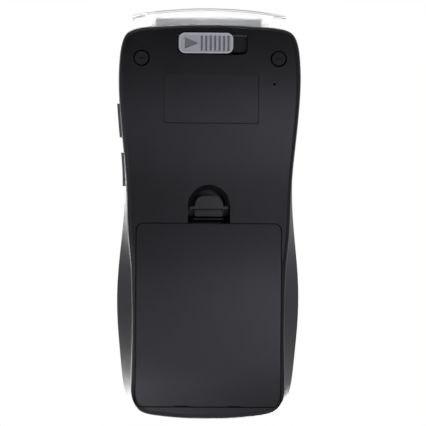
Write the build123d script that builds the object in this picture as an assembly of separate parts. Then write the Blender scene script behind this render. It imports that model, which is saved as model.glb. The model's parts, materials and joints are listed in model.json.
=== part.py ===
from build123d import *
import math
import os

# A handheld label maker lying on its back.
# Origin under the middle of its box, +X to the user's right, +Y to the label outlet, +Z out of the keypad.

# casing
WALL = 2.0
GAP = 0.35
PART_Z = 22.0
PART_GAP = 0.1
CASE_REACH = 60.0
CASE_LONG = 110.0
BACK_ROLL = 3.0
FRONT_ROLL = 3.0
ROLL_STEPS = (26.0, 58.0, 90.0)
SHOULDER_TOP = 13.0
BEYOND = 6.5
BELOW_CASE = -2.0
ABOVE_CASE = 50.0

# right half of the casing outline, from the outlet end to the heel: (half width, y)
OUTLINE = [
    (12.0, 86.5), (24.0, 85.8), (33.5, 84.7), (37.9, 82.6), (40.1, 78.6), (41.4, 71.0),
    (41.8, 62.0), (41.3, 49.0), (40.2, 36.0), (38.8, 20.0), (38.7, 6.0), (39.8, -10.0),
    (41.2, -24.0), (41.9, -40.0), (41.3, -54.0), (40.2, -66.0), (38.9, -77.5), (36.8, -85.0),
    (32.5, -90.3), (23.2, -93.0), (11.0, -94.1),
]
OUTLET_END = 86.7
HEEL_END = -94.3
# how much narrower the raised back is than the outline at the same point
SHOULDER = [
    0.0, 0.0, 0.0, 0.0, 0.0, 0.0,
    0.0, 0.0, 0.0, 0.2, 0.9, 2.6,
    5.4, 6.7, 6.3, 5.0, 3.4, 1.8,
    0.8, 0.3, 0.0,
]
# side view of the back, (y, z), and of the front, (y, z)
BACK_LINE = [
    (-104.0, 4.6), (-94.0, 3.2), (-88.0, 2.2), (-78.0, 0.7), (-62.0, 0.1), (-44.0, 0.1), (-30.0, 0.4),
    (-12.0, 1.6), (4.0, 2.9), (22.0, 3.5), (38.0, 2.8), (54.0, 1.7), (70.0, 1.3), (84.0, 1.6), (96.0, 2.4),
]
FRONT_LINE = [
    (-104.0, 31.8), (-88.0, 32.9), (-60.0, 33.0), (-30.0, 33.0), (-8.0, 33.4), (4.0, 35.4), (20.0, 39.2),
    (31.0, 42.0), (42.0, 44.0), (58.0, 44.9), (74.0, 44.4), (96.0, 42.0),
]

# battery door and its latch
DOOR_HALF = 33.15
DOOR_LOW = -88.55
DOOR_HIGH = -4.7
DOOR_CORNER = 3.3
BAY_CUT = 6.8
TAB_X = (9.0, 15.0)
TAB_Z = (5.15, 6.15)
TAB_REACH = -90.0
TAB_WALL = 1.8
DOOR_PIVOT = (-88.1, 2.75)
DOOR_PIVOT_R = 0.45
NOTCH_R = 9.65
NOTCH_Y = 3.7
NOTCH_DEEP = 13.0
NOTCH_WALL = 1.3
POCKET_LOW = 4.0
SCOOP_RING = 2.2
SCOOP_Z = (3.2, 5.6)
LEDGE_X = 12.5
LEDGE_UPPER_Y = (-16.2, -3.0)
LEDGE_LOWER_Y = (-93.0, -81.3)
LEDGE_Z = (7.0, 8.5)
LUG_X = (7.4, 8.8)
LATCH_PIVOT = (-2.6, 10.4)
LATCH_BARREL = 1.3
LATCH_PIN_LONG = 1.8
RISER_Y = (2.0, 3.2)
TONGUE_Z = (3.1, 4.3)
TONGUE_TIP = 8.1
LATCH_PIN = 0.6
LATCH_FIT = 0.06
LATCH_WIDE = 12.9
LATCH_BAR = 17.5
TAB_INSET = 0.15
TAB_FOOT_Z = 3.4
LUG_FOOT_Z = 2.8
LUG_REAR = 5.2
LUG_FRONT = 0.2
LUG_HEAD = [(1.4, 0.0), (0.6, 1.4), (-1.2, 0.8)]
LATCH_SIDE_FREE = 0.2
LATCH_BEND_UNDER = [(0.0, -0.6), (4.3, -0.6)]
LATCH_BEND_OVER = [(5.0, 0.6), (0.0, 0.6)]
LATCH_BEND_LOW = 1.6
LATCH_BEND_HIGH = 0.8
TONGUE_CORNER = 4.4
BAR_EXTRA = 0.3

# slots and marks on the back
SLOT_LEFT = -17.1
SLOT_RIGHT = 14.9
SLOT_Y = 78.0
SLOT_TALL = 10.6
SLIDER_LEFT = -10.5
SLIDER_RIGHT = 14.4
SLIDER_TALL = 9.4
SLOT_CORNER = 3.1
SLOT_CUT = 8.0
SLIDER_Z = (1.3, 3.8)
SLIDER_CORNER = 2.9
SLIDER_PLATE_X = (-18.5, 22.0)
SLIDER_PLATE_Y = (73.8, 81.4)
SLIDER_PLATE_THICK = 1.0
SLIDER_RIM = 0.9
RIM_DEEP = 0.25
MARK_DEEP = 0.5
ARROW_X = (11.6, 5.4)
ARROW_HALF = 2.6
RIDGES = 7
RIDGE_FIRST = 3.9
RIDGE_PITCH = 2.04
RIDGE_HALF = 0.45
RIDGE_TALL = 3.4
LOCK_BAR_X = (-8.0, 36.5)
LOCK_BAR_Y = (76.6, 80.6)
LOCK_BAR_Z = (4.8, 6.0)
LOCK_ARM = 2.1
LOCK_NOSE = 0.8
LOCK_NOSE_TALL = 2.0
LOCK_TOP = 39.0
FOOT_X = 31.4
FOOT_Y = 70.9
FOOT_R = 3.1
FOOT_SLIT_HALF = (1.2, 0.2)
FOOT_SLIT_DEEP = 0.4
FOOT_HEAD_GAP = 0.2
FOOT_WELL_R = 3.7
FOOT_WELL_Z = 4.2
FOOT_BOSS_R = 4.7
FOOT_BOSS_TOP = 6.6
SCREW_X = 24.0
SCREW_Y = -9.0
BOSS_R = 3.2
POST_R = 2.6
POST_HOLE_TOP = 28.0
SCREW_HOLE_R = 1.2
HEAD_R = 2.6
HEAD_TALL = 1.6
SHANK_R = 1.1
CROSS_REACH = 0.6
CROSS_HALF = 0.3
CROSS_DEEP = 0.8
RESET_X = -29.6
RESET_Y = 59.3
RESET_R = 0.55
RESET_Z = 4.1
RESET_HALF = 1.5
RESET_TALL = 1.6
RESET_TIP_R = 0.45
RESET_TIP = 0.4
PANEL_X = -0.7
PANEL_Y = 52.5
PANEL_WIDE = 43.4
PANEL_TALL = 22.4
PANEL_DEEP = 0.5
PANEL_CORNER = 1.0

# side keys: (low y, high y)
SIDE_KEYS = {"side_key_upper": (34.9, 50.4), "side_key_lower": (12.4, 27.8)}
SIDE_KEY_Z = (14.0, 20.0)
SIDE_KEY_PROUD = 1.1
SIDE_FLANGE = (2.6, 3.4)
SIDE_LIP = 1.0
SIDE_WINDOW_X = 34.0
SWITCH_FREE = 1.1
SWITCH_HALF = 2.5
SWITCH_Z = (15.0, 19.0)
PLUNGER_R = 1.2
PLUNGER_LONG = 0.5
KEY_REACH = 8.0
SIDE_BOARD_X = (29.6, 30.8)
SIDE_BOARD_Y = (10.0, 52.0)
SIDE_BOARD_Z = (12.0, 21.5)

# outlet hood
NECK_HALF = 27.3
NECK_Z = (12.0, 34.0)
NECK_Y = (80.8, 90.0)
NECK_TOP = 87.0
NECK_CORNER = 1.5
FLANGE_Y = (81.4, 82.9)
FLANGE_HALF = 29.5
FLANGE_Z = (10.4, 35.6)
FLARE_HALF = 30.9
FLARE_Z = (10.0, 36.0)
LIP_HALF = 35.5
LIP_Z = (7.5, 38.5)
LIP_THICK = 0.9
LIP_RISE = 3.2
LIP_CORNER = 6.0
HOOD_TOP = 94.3
CHUTE_HALF = 25.6
CHUTE_Z = (14.0, 32.5)
TEAR_HALF = 24.8
TEAR_Y = (86.0, 91.6)
TEAR_Z = (31.2, 31.9)
TEAR_PITCH = 1.6
TEAR_TOOTH = 1.0

# media cover
COVER_HALF = 34.0
COVER_LOW = 31.8
COVER_HIGH = 80.3
COVER_CORNER = 3.0
COVER_CUT = 38.0
COVER_PIVOT = (33.4, 41.2)
HINGE_BACK = 2.15
PANE_HALF = 18.0
PANE_Y = (44.0, 62.0)
PANE_CORNER = 2.5
PANE_GAP = 0.05
PIN_R = 0.6
PIN_OUT = 36.4
LUG_OUT = 37.4
LUG_HALF = 1.9
KNUCKLE_R = 1.2
KNUCKLE_X = (29.8, 34.0)
PLATEN_AT = (74.0, 30.0)
PLATEN_R = 4.0
PLATEN_HALF = 24.6
SHAFT_R = 1.5
SHAFT_FIT = 0.06
ARM_X = (25.4, 27.0)
ARM_Y = (71.2, 76.8)
ARM_TOP = 42.8
ARM_END_R = 2.8

# gear train, centres in (y, z)
MODULE = 0.5
GEAR_X = (-30.5, -28.2)
IDLER_TEETH = 32
PINION_TEETH = 12
PLATEN_TEETH = 20
IDLER_ANGLE = 254.0
PINION_ANGLE = 200.0
BACKLASH = 0.25
TOOTH_OVER = 0.9
TOOTH_UNDER = 1.2
TOOTH_SINK = 0.2
TOOTH_FOOT = 0.32
TOOTH_ROOT = 0.2
TOOTH_TIP = 0.16
STUB_R = 1.5
MOTOR_X = (-38.4, -31.2)
MOTOR_R = 7.5
MOTOR_SHAFT_R = 0.75
STANDOFFS = [(-6.2, -3.2), (4.3, -5.1)]
STANDOFF_R = 1.1
FLANGE_THICK = 0.8
MOTOR_FLANGE_Y = (-7.6, 6.0)
MOTOR_FLANGE_Z = (-6.0, -1.5)
MOTOR_SHAFT_IN = 1.5
MOTOR_BORE_IN = 1.0
SHAFT_ENDS = (0.3, 0.8)

# print chassis and head
SIDE_X = (26.0, 27.2)
BASE_Y = (66.0, 75.6)
BASE_Z = (6.75, 8.2)
CHASSIS_PLATE = [(41.0, 6.75), (72.0, 6.75), (72.0, 24.0), (69.0, 25.0), (69.0, 33.5), (41.0, 33.5)]
EAR_CORNER = 2.0
SHANK_FIT = 0.05
STUB_PROUD = 0.2
EAR_X = 36.0
EAR_Y = (66.5, 75.5)
GUIDE_X = 18.0
GUIDE_R = 1.5
GUIDE_TOP = 20.6
HEAD_HALF = 24.8
HEAD_Z = (19.6, 21.8)
HEAD_TOP = 25.25
HEAD_SINK_Y = (-4.0, 4.6)
HEAD_STRIP_Y = (-2.2, 2.6)
HEAD_STRIP_INSET = 0.6
GUIDE_FIT = 0.1
GUIDE_HOLE_OVER = 0.7
HEAD_SPRING_OUT = 0.6
HEAD_SPRING_WIRE = 0.25
HEAD_SPRING_PITCH = 2.2
SPRING_FREE = 0.1
CABLE_X = (5.0, 17.0)
CABLE_UP_Y = 69.0
CABLE_DOWN_Y = 33.0
CABLE_Z = 5.55
CABLE_THICK = 0.3
CABLE_SLOT_FREE = 0.6
CABLE_SLOT_LONG = 1.0
CABLE_PLUG_TALL = 1.0

# label roll
ROLL_AT = (52.5, 22.5)
ROLL_R = 16.0
ROLL_HALF = 24.0
CORE_R = 6.0
CORE_BORE = 4.5
CORE_FIT = 0.07
WEB_THICK = 0.25
WEB_Z = 25.7
WEB_START = (65.3, 32.9)
WEB_BEND = 71.2
WEB_START_BACK = (0.2, 0.15)
WEB_BEND_BACK = 0.1
WEB_END = 88.6
CORE_HALF = 24.5
HUB_IN = 21.5
HUB_FLANGE_R = 8.0
HUB_FREE = 0.4

# keypad
KEY_COLUMNS = 3
KEY_ROWS = 5
KEY_PITCH = (22.5, 14.6)
KEY_FIRST = (-22.5, -79.0)
KEY_SIZE = (18.0, 9.6)
KEY_BOTTOM = 29.9
KEY_TOP = 34.9
KEY_FLANGE = 0.8
KEY_LIP = 0.8
KEY_LEDGE = 30.6
KEY_CORNER = 1.8
KEY_EDGE = 0.6
DISH_R = 60.0
DISH_DEEP = 0.35
MAT_HALF = 33.0
MAT_Y = (-86.0, -12.0)
MAT_Z = (27.0, 27.8)
MAT_CORNER = 4.0
MAT_FIT = 0.3
DOME_R = 3.0
DOME_TOP_R = 2.1
DOME_TALL = 0.7

# circuit board
BOARD_HALF = 33.0
BOARD_Y = (-81.0, 29.0)
BOARD_Z = (25.2, 26.8)
BOARD_CORNER = 3.0
POST_FIT = 0.4
BOARD_SCREW_X = 11.25
BOARD_SCREW_Y = (-71.7, -27.9)
BOARD_POST_R = 1.7
BOARD_SCREW_R = 0.85
BOARD_SCREW_TOP = 30.0
BOARD_HOLE_FIT = 0.1
BOARD_HEAD_R = 1.9
BOARD_HEAD_TALL = 1.0
BOARD_TIP_FREE = 0.3
CHIP_TALL = 1.4
# each chip: middle x, middle y, width, height
CHIPS = [(-6.0, 14.0, 12.0, 12.0), (14.0, 16.0, 9.0, 6.0), (-22.0, 18.0, 6.0, 8.0), (0.0, -2.0, 14.0, 5.0)]

# display
DISPLAY_AT = (0.0, 12.6, 37.4)
DISPLAY_TILT = 13.4
DISPLAY_SIZE = (52.4, 19.4)
BEZEL_Z = (-1.8, 0.6)
BEZEL_CORNER = 1.9
HOLE_CORNER = 1.5
LENS_SIZE = (45.8, 14.2)
LENS_Z = (-1.0, 0.15)
LENS_FIT = 0.05
LENS_CORNER = 1.45
GASKET_TALL = 1.75
GASKET_RING = 2.4
GASKET_FREE = 0.05
MODULE_SIZE = (50.0, 17.6)
MODULE_TALL = 3.5
MODULE_CORNER = 1.0

# power
CELL_R = 7.1
CELL_HALF = 25.0
NUB_R = 2.6
NUB_LONG = 1.0
CELL_Z = 11.3
TRAY_HALF = 30.5
TRAY_Y = (-80.3, -17.0)
TRAY_Z = (5.0, 19.6)
TRAY_WALL = 1.0
RIB_OVER = 2.0
RIB_HALF = 0.25
PLATE_THICK = 0.4
PLATE_HALF = 4.5
BUMP_R = 1.8
BUMP_FREE = 0.02
SPRING_R = 2.8
SPRING_WIRE = 0.3
SPRING_PITCH = 1.2
CELL_PITCH = 15.2
CELL_FIRST = -71.3
CELLS = 4


def block(x, y, z):
    """A box from its low and high edges on each axis."""
    size = (x[1] - x[0], y[1] - y[0], z[1] - z[0])
    middle = ((x[0] + x[1]) / 2, (y[0] + y[1]) / 2, (z[0] + z[1]) / 2)
    return Pos(*middle) * Box(*size)


def rod_z(radius, x, y, z):
    """A round bar along Z, between two heights."""
    return Pos(x, y, (z[0] + z[1]) / 2) * Cylinder(radius, z[1] - z[0])


def rod_x(radius, x, y, z):
    """A round bar along X, between two places."""
    return Pos((x[0] + x[1]) / 2, y, z) * Rot(0, 90, 0) * Cylinder(radius, x[1] - x[0])


def pad_z(x, y, z, corner):
    """A rounded rectangle raised along Z."""
    flat = RectangleRounded(x[1] - x[0], y[1] - y[0], corner)
    return Pos((x[0] + x[1]) / 2, (y[0] + y[1]) / 2, z[0]) * extrude(flat, z[1] - z[0])


def side_plate(points, x):
    """A flat shape drawn in Y and Z, thickened along X."""
    corners = [(x[0], y, z) for y, z in points]
    face = Face(Wire(Polyline(*corners, close=True).edges()))
    return extrude(face, x[1] - x[0], dir=(1, 0, 0))


def both_sides(shape):
    """The shape and its mirror image across the middle."""
    return shape + mirror(shape, Plane.YZ)


def height(line, y):
    """Where a side line stands at one place along the casing."""
    for i in range(1, len(line)):
        if y <= line[i][0]:
            break
    y0, z0 = line[i - 1]
    y1, z1 = line[i]
    before = line[max(i - 2, 0)]
    after = line[min(i + 1, len(line) - 1)]
    span = y1 - y0
    slope0 = (z1 - before[1]) / (y1 - before[0]) * span
    slope1 = (after[1] - z0) / (after[0] - y0) * span
    t = (y - y0) / span
    start = (2 * t**3 - 3 * t**2 + 1) * z0 + (t**3 - 2 * t**2 + t) * slope0
    return start + (3 * t**2 - 2 * t**3) * z1 + (t**3 - t**2) * slope1


def outline_ring(inset, shoulder):
    """The casing outline as a smooth closed ring of points, pulled in by an inset."""
    pull = [s if shoulder else 0.0 for s in SHOULDER]
    right = [(x - p, y) for (x, y), p in zip(OUTLINE, pull)]
    left = [(-x, y) for x, y in reversed(right)]
    ring = [(0.0, OUTLET_END)] + right + [(0.0, HEEL_END)] + left
    moved = []
    for i, (x, y) in enumerate(ring):
        before = ring[i - 1]
        after = ring[(i + 1) % len(ring)]
        dx = after[0] - before[0]
        dy = after[1] - before[1]
        length = math.hypot(dx, dy)
        moved.append((x + inset * dy / length, y - inset * dx / length))
    return moved


def ring_wire(inset, shoulder, level):
    """One ring of the casing, at a level that may follow the back or the front."""
    points = [(x, y, level(y)) for x, y in outline_ring(inset, shoulder)]
    return Wire(Spline(*points, periodic=True).edges())


def outline_prism(inset, z):
    """The casing outline raised between two heights."""
    face = Face(ring_wire(inset, False, lambda y: z[0]))
    return extrude(face, z[1] - z[0], dir=(0, 0, 1))


def side_profile(inset):
    """The casing seen from the side, as a solid wider than the casing."""
    back = Spline(*[(-CASE_REACH, y, z + inset) for y, z in BACK_LINE])
    front = Spline(*[(-CASE_REACH, y, z - inset) for y, z in FRONT_LINE])
    heel = Line(back @ 0, front @ 0)
    outlet = Line(back @ 1, front @ 1)
    face = Face(Wire([back.edge(), outlet.edge(), front.edge(), heel.edge()]))
    return extrude(face, 2 * CASE_REACH, dir=(1, 0, 0))


def casing(inset):
    """The whole casing form: rolled edges, and a raised back narrower than the waist line."""
    wires = [ring_wire(inset + BEYOND, True, lambda y: BELOW_CASE + inset)]
    for step in ROLL_STEPS:
        across = inset + BACK_ROLL * (1 - math.sin(math.radians(step)))
        up = inset + BACK_ROLL * (1 - math.cos(math.radians(step)))
        wires.append(ring_wire(across, True, lambda y: height(BACK_LINE, y) + up))
    wires.append(ring_wire(inset, False, lambda y: SHOULDER_TOP + inset))
    for step in reversed(ROLL_STEPS):
        across = inset + FRONT_ROLL * (1 - math.sin(math.radians(step)))
        down = inset + FRONT_ROLL * (1 - math.cos(math.radians(step)))
        wires.append(ring_wire(across, False, lambda y: height(FRONT_LINE, y) - down))
    wires.append(ring_wire(inset + BEYOND, False, lambda y: ABOVE_CASE - inset))
    return Solid.make_loft(wires, ruled=True) & side_profile(inset)


def notch_form(extra, y_low, z):
    """The finger notch above the battery door, straight sides under a half round."""
    radius = NOTCH_R + extra
    arch = rod_z(radius, 0, NOTCH_Y, z) & block((-radius, radius), (NOTCH_Y, NOTCH_Y + radius), z)
    return arch + block((-radius, radius), (y_low, NOTCH_Y), z)


def notch_hollow(y_low):
    """What the finger notch takes away: a wide mouth, a sloping arch and a deep middle."""
    hollow = notch_form(0, y_low, (BELOW_CASE, SCOOP_Z[0]))
    hollow += block((-NOTCH_R, NOTCH_R), (y_low, NOTCH_Y), (BELOW_CASE, NOTCH_DEEP))
    hollow += notch_form(-SCOOP_RING, y_low, (BELOW_CASE, NOTCH_DEEP))
    cone = Pos(0, NOTCH_Y, sum(SCOOP_Z) / 2) * Cone(NOTCH_R, NOTCH_R - SCOOP_RING, SCOOP_Z[1] - SCOOP_Z[0])
    return hollow + (cone & block((-NOTCH_R, NOTCH_R), (NOTCH_Y, NOTCH_Y + NOTCH_R), SCOOP_Z))


def door_hole(extra, z):
    """The footprint of the battery door."""
    half = DOOR_HALF + extra
    return pad_z((-half, half), (DOOR_LOW - extra, DOOR_HIGH + extra), z, DOOR_CORNER + extra)


def neck_hole(extra):
    """The way through the outlet wall for the hood's neck."""
    half = NECK_HALF + extra
    return block((-half, half), NECK_Y, (NECK_Z[0] - extra, NECK_Z[1] + extra))


def key_places():
    """The middle of each front key."""
    return [
        (KEY_FIRST[0] + column * KEY_PITCH[0], KEY_FIRST[1] + row * KEY_PITCH[1])
        for row in range(KEY_ROWS)
        for column in range(KEY_COLUMNS)
    ]


def rear_shell(skin, whole):
    """The back half of the casing."""
    shell = skin & block((-CASE_REACH, CASE_REACH), (-CASE_LONG, CASE_LONG), (BELOW_CASE, PART_Z))
    shell -= door_hole(GAP, (BELOW_CASE, BAY_CUT))
    pocket = notch_form(NOTCH_WALL, DOOR_HIGH, (POCKET_LOW, NOTCH_DEEP + NOTCH_WALL))
    shell += pocket
    shell -= notch_hollow(DOOR_HIGH - NOTCH_WALL)
    ledge = block((LEDGE_X, CASE_REACH), LEDGE_UPPER_Y, LEDGE_Z)
    heel_ledge = block((0, CASE_REACH), LEDGE_LOWER_Y, LEDGE_Z)
    shell += both_sides(ledge + heel_ledge) & casing(WALL / 2)
    shell += both_sides(rod_z(BOSS_R, SCREW_X, SCREW_Y, (LEDGE_Z[0], PART_Z - PART_GAP)))
    shell += both_sides(rod_z(FOOT_BOSS_R, FOOT_X, FOOT_Y, (WALL + 0.6, FOOT_BOSS_TOP)))
    shell -= both_sides(rod_z(FOOT_WELL_R, FOOT_X, FOOT_Y, (BELOW_CASE, FOOT_WELL_Z)))
    shell -= both_sides(rod_z(SCREW_HOLE_R, FOOT_X, FOOT_Y, (FOOT_WELL_Z, FOOT_BOSS_TOP)))
    shell -= both_sides(rod_z(SCREW_HOLE_R, SCREW_X, SCREW_Y, (BELOW_CASE, PART_Z)))
    slot_y = (SLOT_Y - SLOT_TALL / 2, SLOT_Y + SLOT_TALL / 2)
    shell -= pad_z((SLOT_LEFT, SLOT_RIGHT), slot_y, (BELOW_CASE, SLOT_CUT), SLOT_CORNER)
    panel_x = (PANEL_X - PANEL_WIDE / 2, PANEL_X + PANEL_WIDE / 2)
    panel_y = (PANEL_Y - PANEL_TALL / 2, PANEL_Y + PANEL_TALL / 2)
    panel = pad_z(panel_x, panel_y, (BELOW_CASE, SLOT_CUT), PANEL_CORNER)
    shell -= panel & (whole - side_profile(PANEL_DEEP))
    shell -= rod_z(RESET_R, RESET_X, RESET_Y, (BELOW_CASE, SLOT_CUT))
    for low, high in SIDE_KEYS.values():
        window_z = (SIDE_KEY_Z[0] - GAP, SIDE_KEY_Z[1] + GAP)
        shell -= block((SIDE_WINDOW_X, CASE_REACH), (low - GAP, high + GAP), window_z)
    return shell - neck_hole(PART_GAP)


def front_shell(skin):
    """The keypad half of the casing."""
    top = (PART_Z + PART_GAP, ABOVE_CASE)
    shell = skin & block((-CASE_REACH, CASE_REACH), (-CASE_LONG, CASE_LONG), top)
    for x, y in key_places():
        half_x = KEY_SIZE[0] / 2 + GAP
        half_y = KEY_SIZE[1] / 2 + GAP
        window_z = (KEY_LEDGE, ABOVE_CASE)
        shell -= pad_z((x - half_x, x + half_x), (y - half_y, y + half_y), window_z, KEY_CORNER + GAP)
    shell -= display_slab(DISPLAY_SIZE, 0.1, (-3 * WALL, 3 * WALL), 2.0)
    half = COVER_HALF + GAP
    cover_y = (COVER_PIVOT[0] - HINGE_BACK, COVER_HIGH + GAP)
    shell -= pad_z((-half, half), cover_y, (COVER_CUT, ABOVE_CASE), COVER_CORNER)
    corner_y = (cover_y[0], cover_y[0] + COVER_CORNER)
    shell -= both_sides(block((KNUCKLE_X[0], half), corner_y, (COVER_CUT, ABOVE_CASE)))
    shell += both_sides(rod_z(POST_R, SCREW_X, SCREW_Y, (PART_Z + PART_GAP, KEY_LEDGE + 1)))
    shell -= both_sides(rod_z(SCREW_HOLE_R, SCREW_X, SCREW_Y, (PART_Z, POST_HOLE_TOP)))
    for y in BOARD_SCREW_Y:
        shell += both_sides(rod_z(BOARD_POST_R, BOARD_SCREW_X, y, (BOARD_Z[1], KEY_LEDGE + 1)))
        shell -= both_sides(rod_z(BOARD_SCREW_R, BOARD_SCREW_X, y, (BOARD_Z[1], BOARD_SCREW_TOP)))
    y, z = COVER_PIVOT
    lug = block((COVER_HALF + GAP, LUG_OUT), (y - LUG_HALF, y + LUG_HALF), (z - LUG_HALF, z + LUG_HALF))
    shell += both_sides(lug & casing(WALL / 2))
    shell -= both_sides(rod_x(PIN_R, (COVER_HALF, PIN_OUT), y, z))
    return shell - neck_hole(PART_GAP)


def media_cover(skin):
    """The lid over the label roll, which carries the platen between two arms."""
    across = (-COVER_HALF, COVER_HALF)
    cover = skin & pad_z(across, (COVER_LOW, COVER_HIGH), (COVER_CUT, ABOVE_CASE), COVER_CORNER - GAP)
    cover -= pad_z((-PANE_HALF, PANE_HALF), PANE_Y, (COVER_CUT, ABOVE_CASE), PANE_CORNER)
    arm = block(ARM_X, ARM_Y, (PLATEN_AT[1], ARM_TOP)) + rod_x(ARM_END_R, ARM_X, *PLATEN_AT)
    cover += both_sides(arm)
    cover -= both_sides(rod_x(SHAFT_R + SHAFT_FIT, ARM_X, *PLATEN_AT))
    y, z = COVER_PIVOT
    knuckle = rod_x(KNUCKLE_R, KNUCKLE_X, y, z) + block(KNUCKLE_X, (y, y + 2 * KNUCKLE_R), (z - 0.4, z + 0.4))
    cover += both_sides(knuckle)
    return cover - both_sides(rod_x(PIN_R + SHAFT_FIT, KNUCKLE_X, y, z))


def cover_pane(skin):
    """The clear pane in the lid."""
    half = PANE_HALF - PANE_GAP
    y = (PANE_Y[0] + PANE_GAP, PANE_Y[1] - PANE_GAP)
    return skin & pad_z((-half, half), y, (COVER_CUT, ABOVE_CASE), PANE_CORNER - PANE_GAP)


def cover_hinge_pins():
    """Two short steel pins."""
    return both_sides(rod_x(PIN_R, (KNUCKLE_X[0], PIN_OUT), *COVER_PIVOT))


def across_y(x_half, z, y, corner):
    """A rounded rectangle standing across the casing at one place along Y."""
    flat = RectangleRounded(2 * x_half, z[1] - z[0], corner)
    return Plane((0, y, (z[0] + z[1]) / 2), x_dir=(1, 0, 0), z_dir=(0, 1, 0)) * flat


def under_lip(top):
    """Everything below the lip's arched edge, in plan."""
    tip_y = top - LIP_RISE
    arc = ThreePointArc((-LIP_HALF, tip_y, 0), (0, top, 0), (LIP_HALF, tip_y, 0))
    sides = Polyline((LIP_HALF, tip_y, 0), (LIP_HALF, FLANGE_Y[0], 0), (-LIP_HALF, FLANGE_Y[0], 0),
                     (-LIP_HALF, tip_y, 0))
    return extrude(Face(Wire([arc.edge()] + list(sides.edges()))), ABOVE_CASE, dir=(0, 0, 1))


def label_outlet_hood():
    """The flared milky hood that the labels come out of."""
    neck = extrude(across_y(NECK_HALF, NECK_Z, FLANGE_Y[0], NECK_CORNER), NECK_TOP - FLANGE_Y[0])
    lower = across_y(NECK_HALF, NECK_Z, NECK_TOP, NECK_CORNER)
    upper = across_y(FLARE_HALF, FLARE_Z, HOOD_TOP, NECK_CORNER)
    flare = loft([lower, upper], ruled=True)
    flange = extrude(across_y(FLANGE_HALF, FLANGE_Z, FLANGE_Y[0], 2.0), FLANGE_Y[1] - FLANGE_Y[0])
    lip = under_lip(HOOD_TOP) - under_lip(HOOD_TOP - LIP_THICK)
    plate = extrude(across_y(LIP_HALF, LIP_Z, HOOD_TOP - 2 * LIP_RISE, LIP_CORNER), 3 * LIP_RISE)
    hood = ((neck + flare) & under_lip(HOOD_TOP)) + (lip & plate) + flange
    return hood - block((-CHUTE_HALF, CHUTE_HALF), (FLANGE_Y[0], HOOD_TOP), CHUTE_Z)


def tear_bar():
    """A thin toothed blade along the outlet."""
    blade = block((-TEAR_HALF, TEAR_HALF), TEAR_Y, TEAR_Z)
    count = int(2 * TEAR_HALF / TEAR_PITCH)
    for i in range(count):
        x = -TEAR_HALF + (i + 0.5) * TEAR_PITCH
        edge = TEAR_Y[1]
        points = [(x - TEAR_PITCH / 2, edge), (x + TEAR_PITCH / 2, edge), (x, edge + TEAR_TOOTH)]
        tooth = Face(Wire(Polyline(*[(a, b, TEAR_Z[0]) for a, b in points], close=True).edges()))
        blade += extrude(tooth, TEAR_Z[1] - TEAR_Z[0], dir=(0, 0, 1))
    return blade


def battery_door(skin):
    """The battery lid, with two hook tabs at its heel and two lugs for the latch."""
    door = skin & door_hole(0, (BELOW_CASE, BAY_CUT))
    door -= both_sides(block(TAB_X, (TAB_REACH, DOOR_PIVOT[0]), (BELOW_CASE, BAY_CUT)))
    door += both_sides(rod_x(DOOR_PIVOT_R, TAB_X, *DOOR_PIVOT))
    heel_y = DOOR_LOW + TAB_INSET
    riser = block(TAB_X, (heel_y, heel_y + TAB_WALL), (TAB_FOOT_Z, TAB_Z[1]))
    tongue = block(TAB_X, (TAB_REACH, heel_y + TAB_WALL), TAB_Z)
    door += both_sides(riser + tongue)
    y, z = LATCH_PIVOT
    lug_points = [(DOOR_HIGH - LUG_REAR, LUG_FOOT_Z), (DOOR_HIGH - LUG_FRONT, LUG_FOOT_Z)]
    lug_points += [(y + dy, z + dz) for dy, dz in LUG_HEAD]
    door += both_sides(side_plate(lug_points, LUG_X))
    return door + both_sides(rod_x(LATCH_PIN, (LUG_X[0] - LATCH_PIN_LONG, LUG_X[0]), y, z))


def battery_door_latch():
    """The springy tongue: a deep bend, a cross bar and the finger tab."""
    y, z = LATCH_PIVOT
    half = LATCH_WIDE / 2
    barrel_half = LUG_X[0] - LATCH_SIDE_FREE
    latch = rod_x(LATCH_BARREL, (-barrel_half, barrel_half), y, z)
    web = [(y + dy, z + dz) for dy, dz in LATCH_BEND_UNDER]
    web += [(RISER_Y[0], z - LATCH_BEND_LOW), (RISER_Y[0], TONGUE_Z[0])]
    web += [(RISER_Y[1], TONGUE_Z[0]), (RISER_Y[1], z - LATCH_BEND_HIGH)]
    web += [(y + dy, z + dz) for dy, dz in LATCH_BEND_OVER]
    latch += side_plate(web, (-half, half))
    tongue = pad_z((-half, half), (TONGUE_TIP - 2 * TONGUE_CORNER - 1, TONGUE_TIP), TONGUE_Z, TONGUE_CORNER)
    latch += tongue & block((-half, half), (RISER_Y[0], TONGUE_TIP), TONGUE_Z)
    bar_z = (TONGUE_Z[0], TONGUE_Z[1] + BAR_EXTRA)
    latch += block((-LATCH_BAR / 2, LATCH_BAR / 2), RISER_Y, bar_z)
    return latch - rod_x(LATCH_PIN + LATCH_FIT, (-LUG_X[0], LUG_X[0]), y, z)


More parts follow.
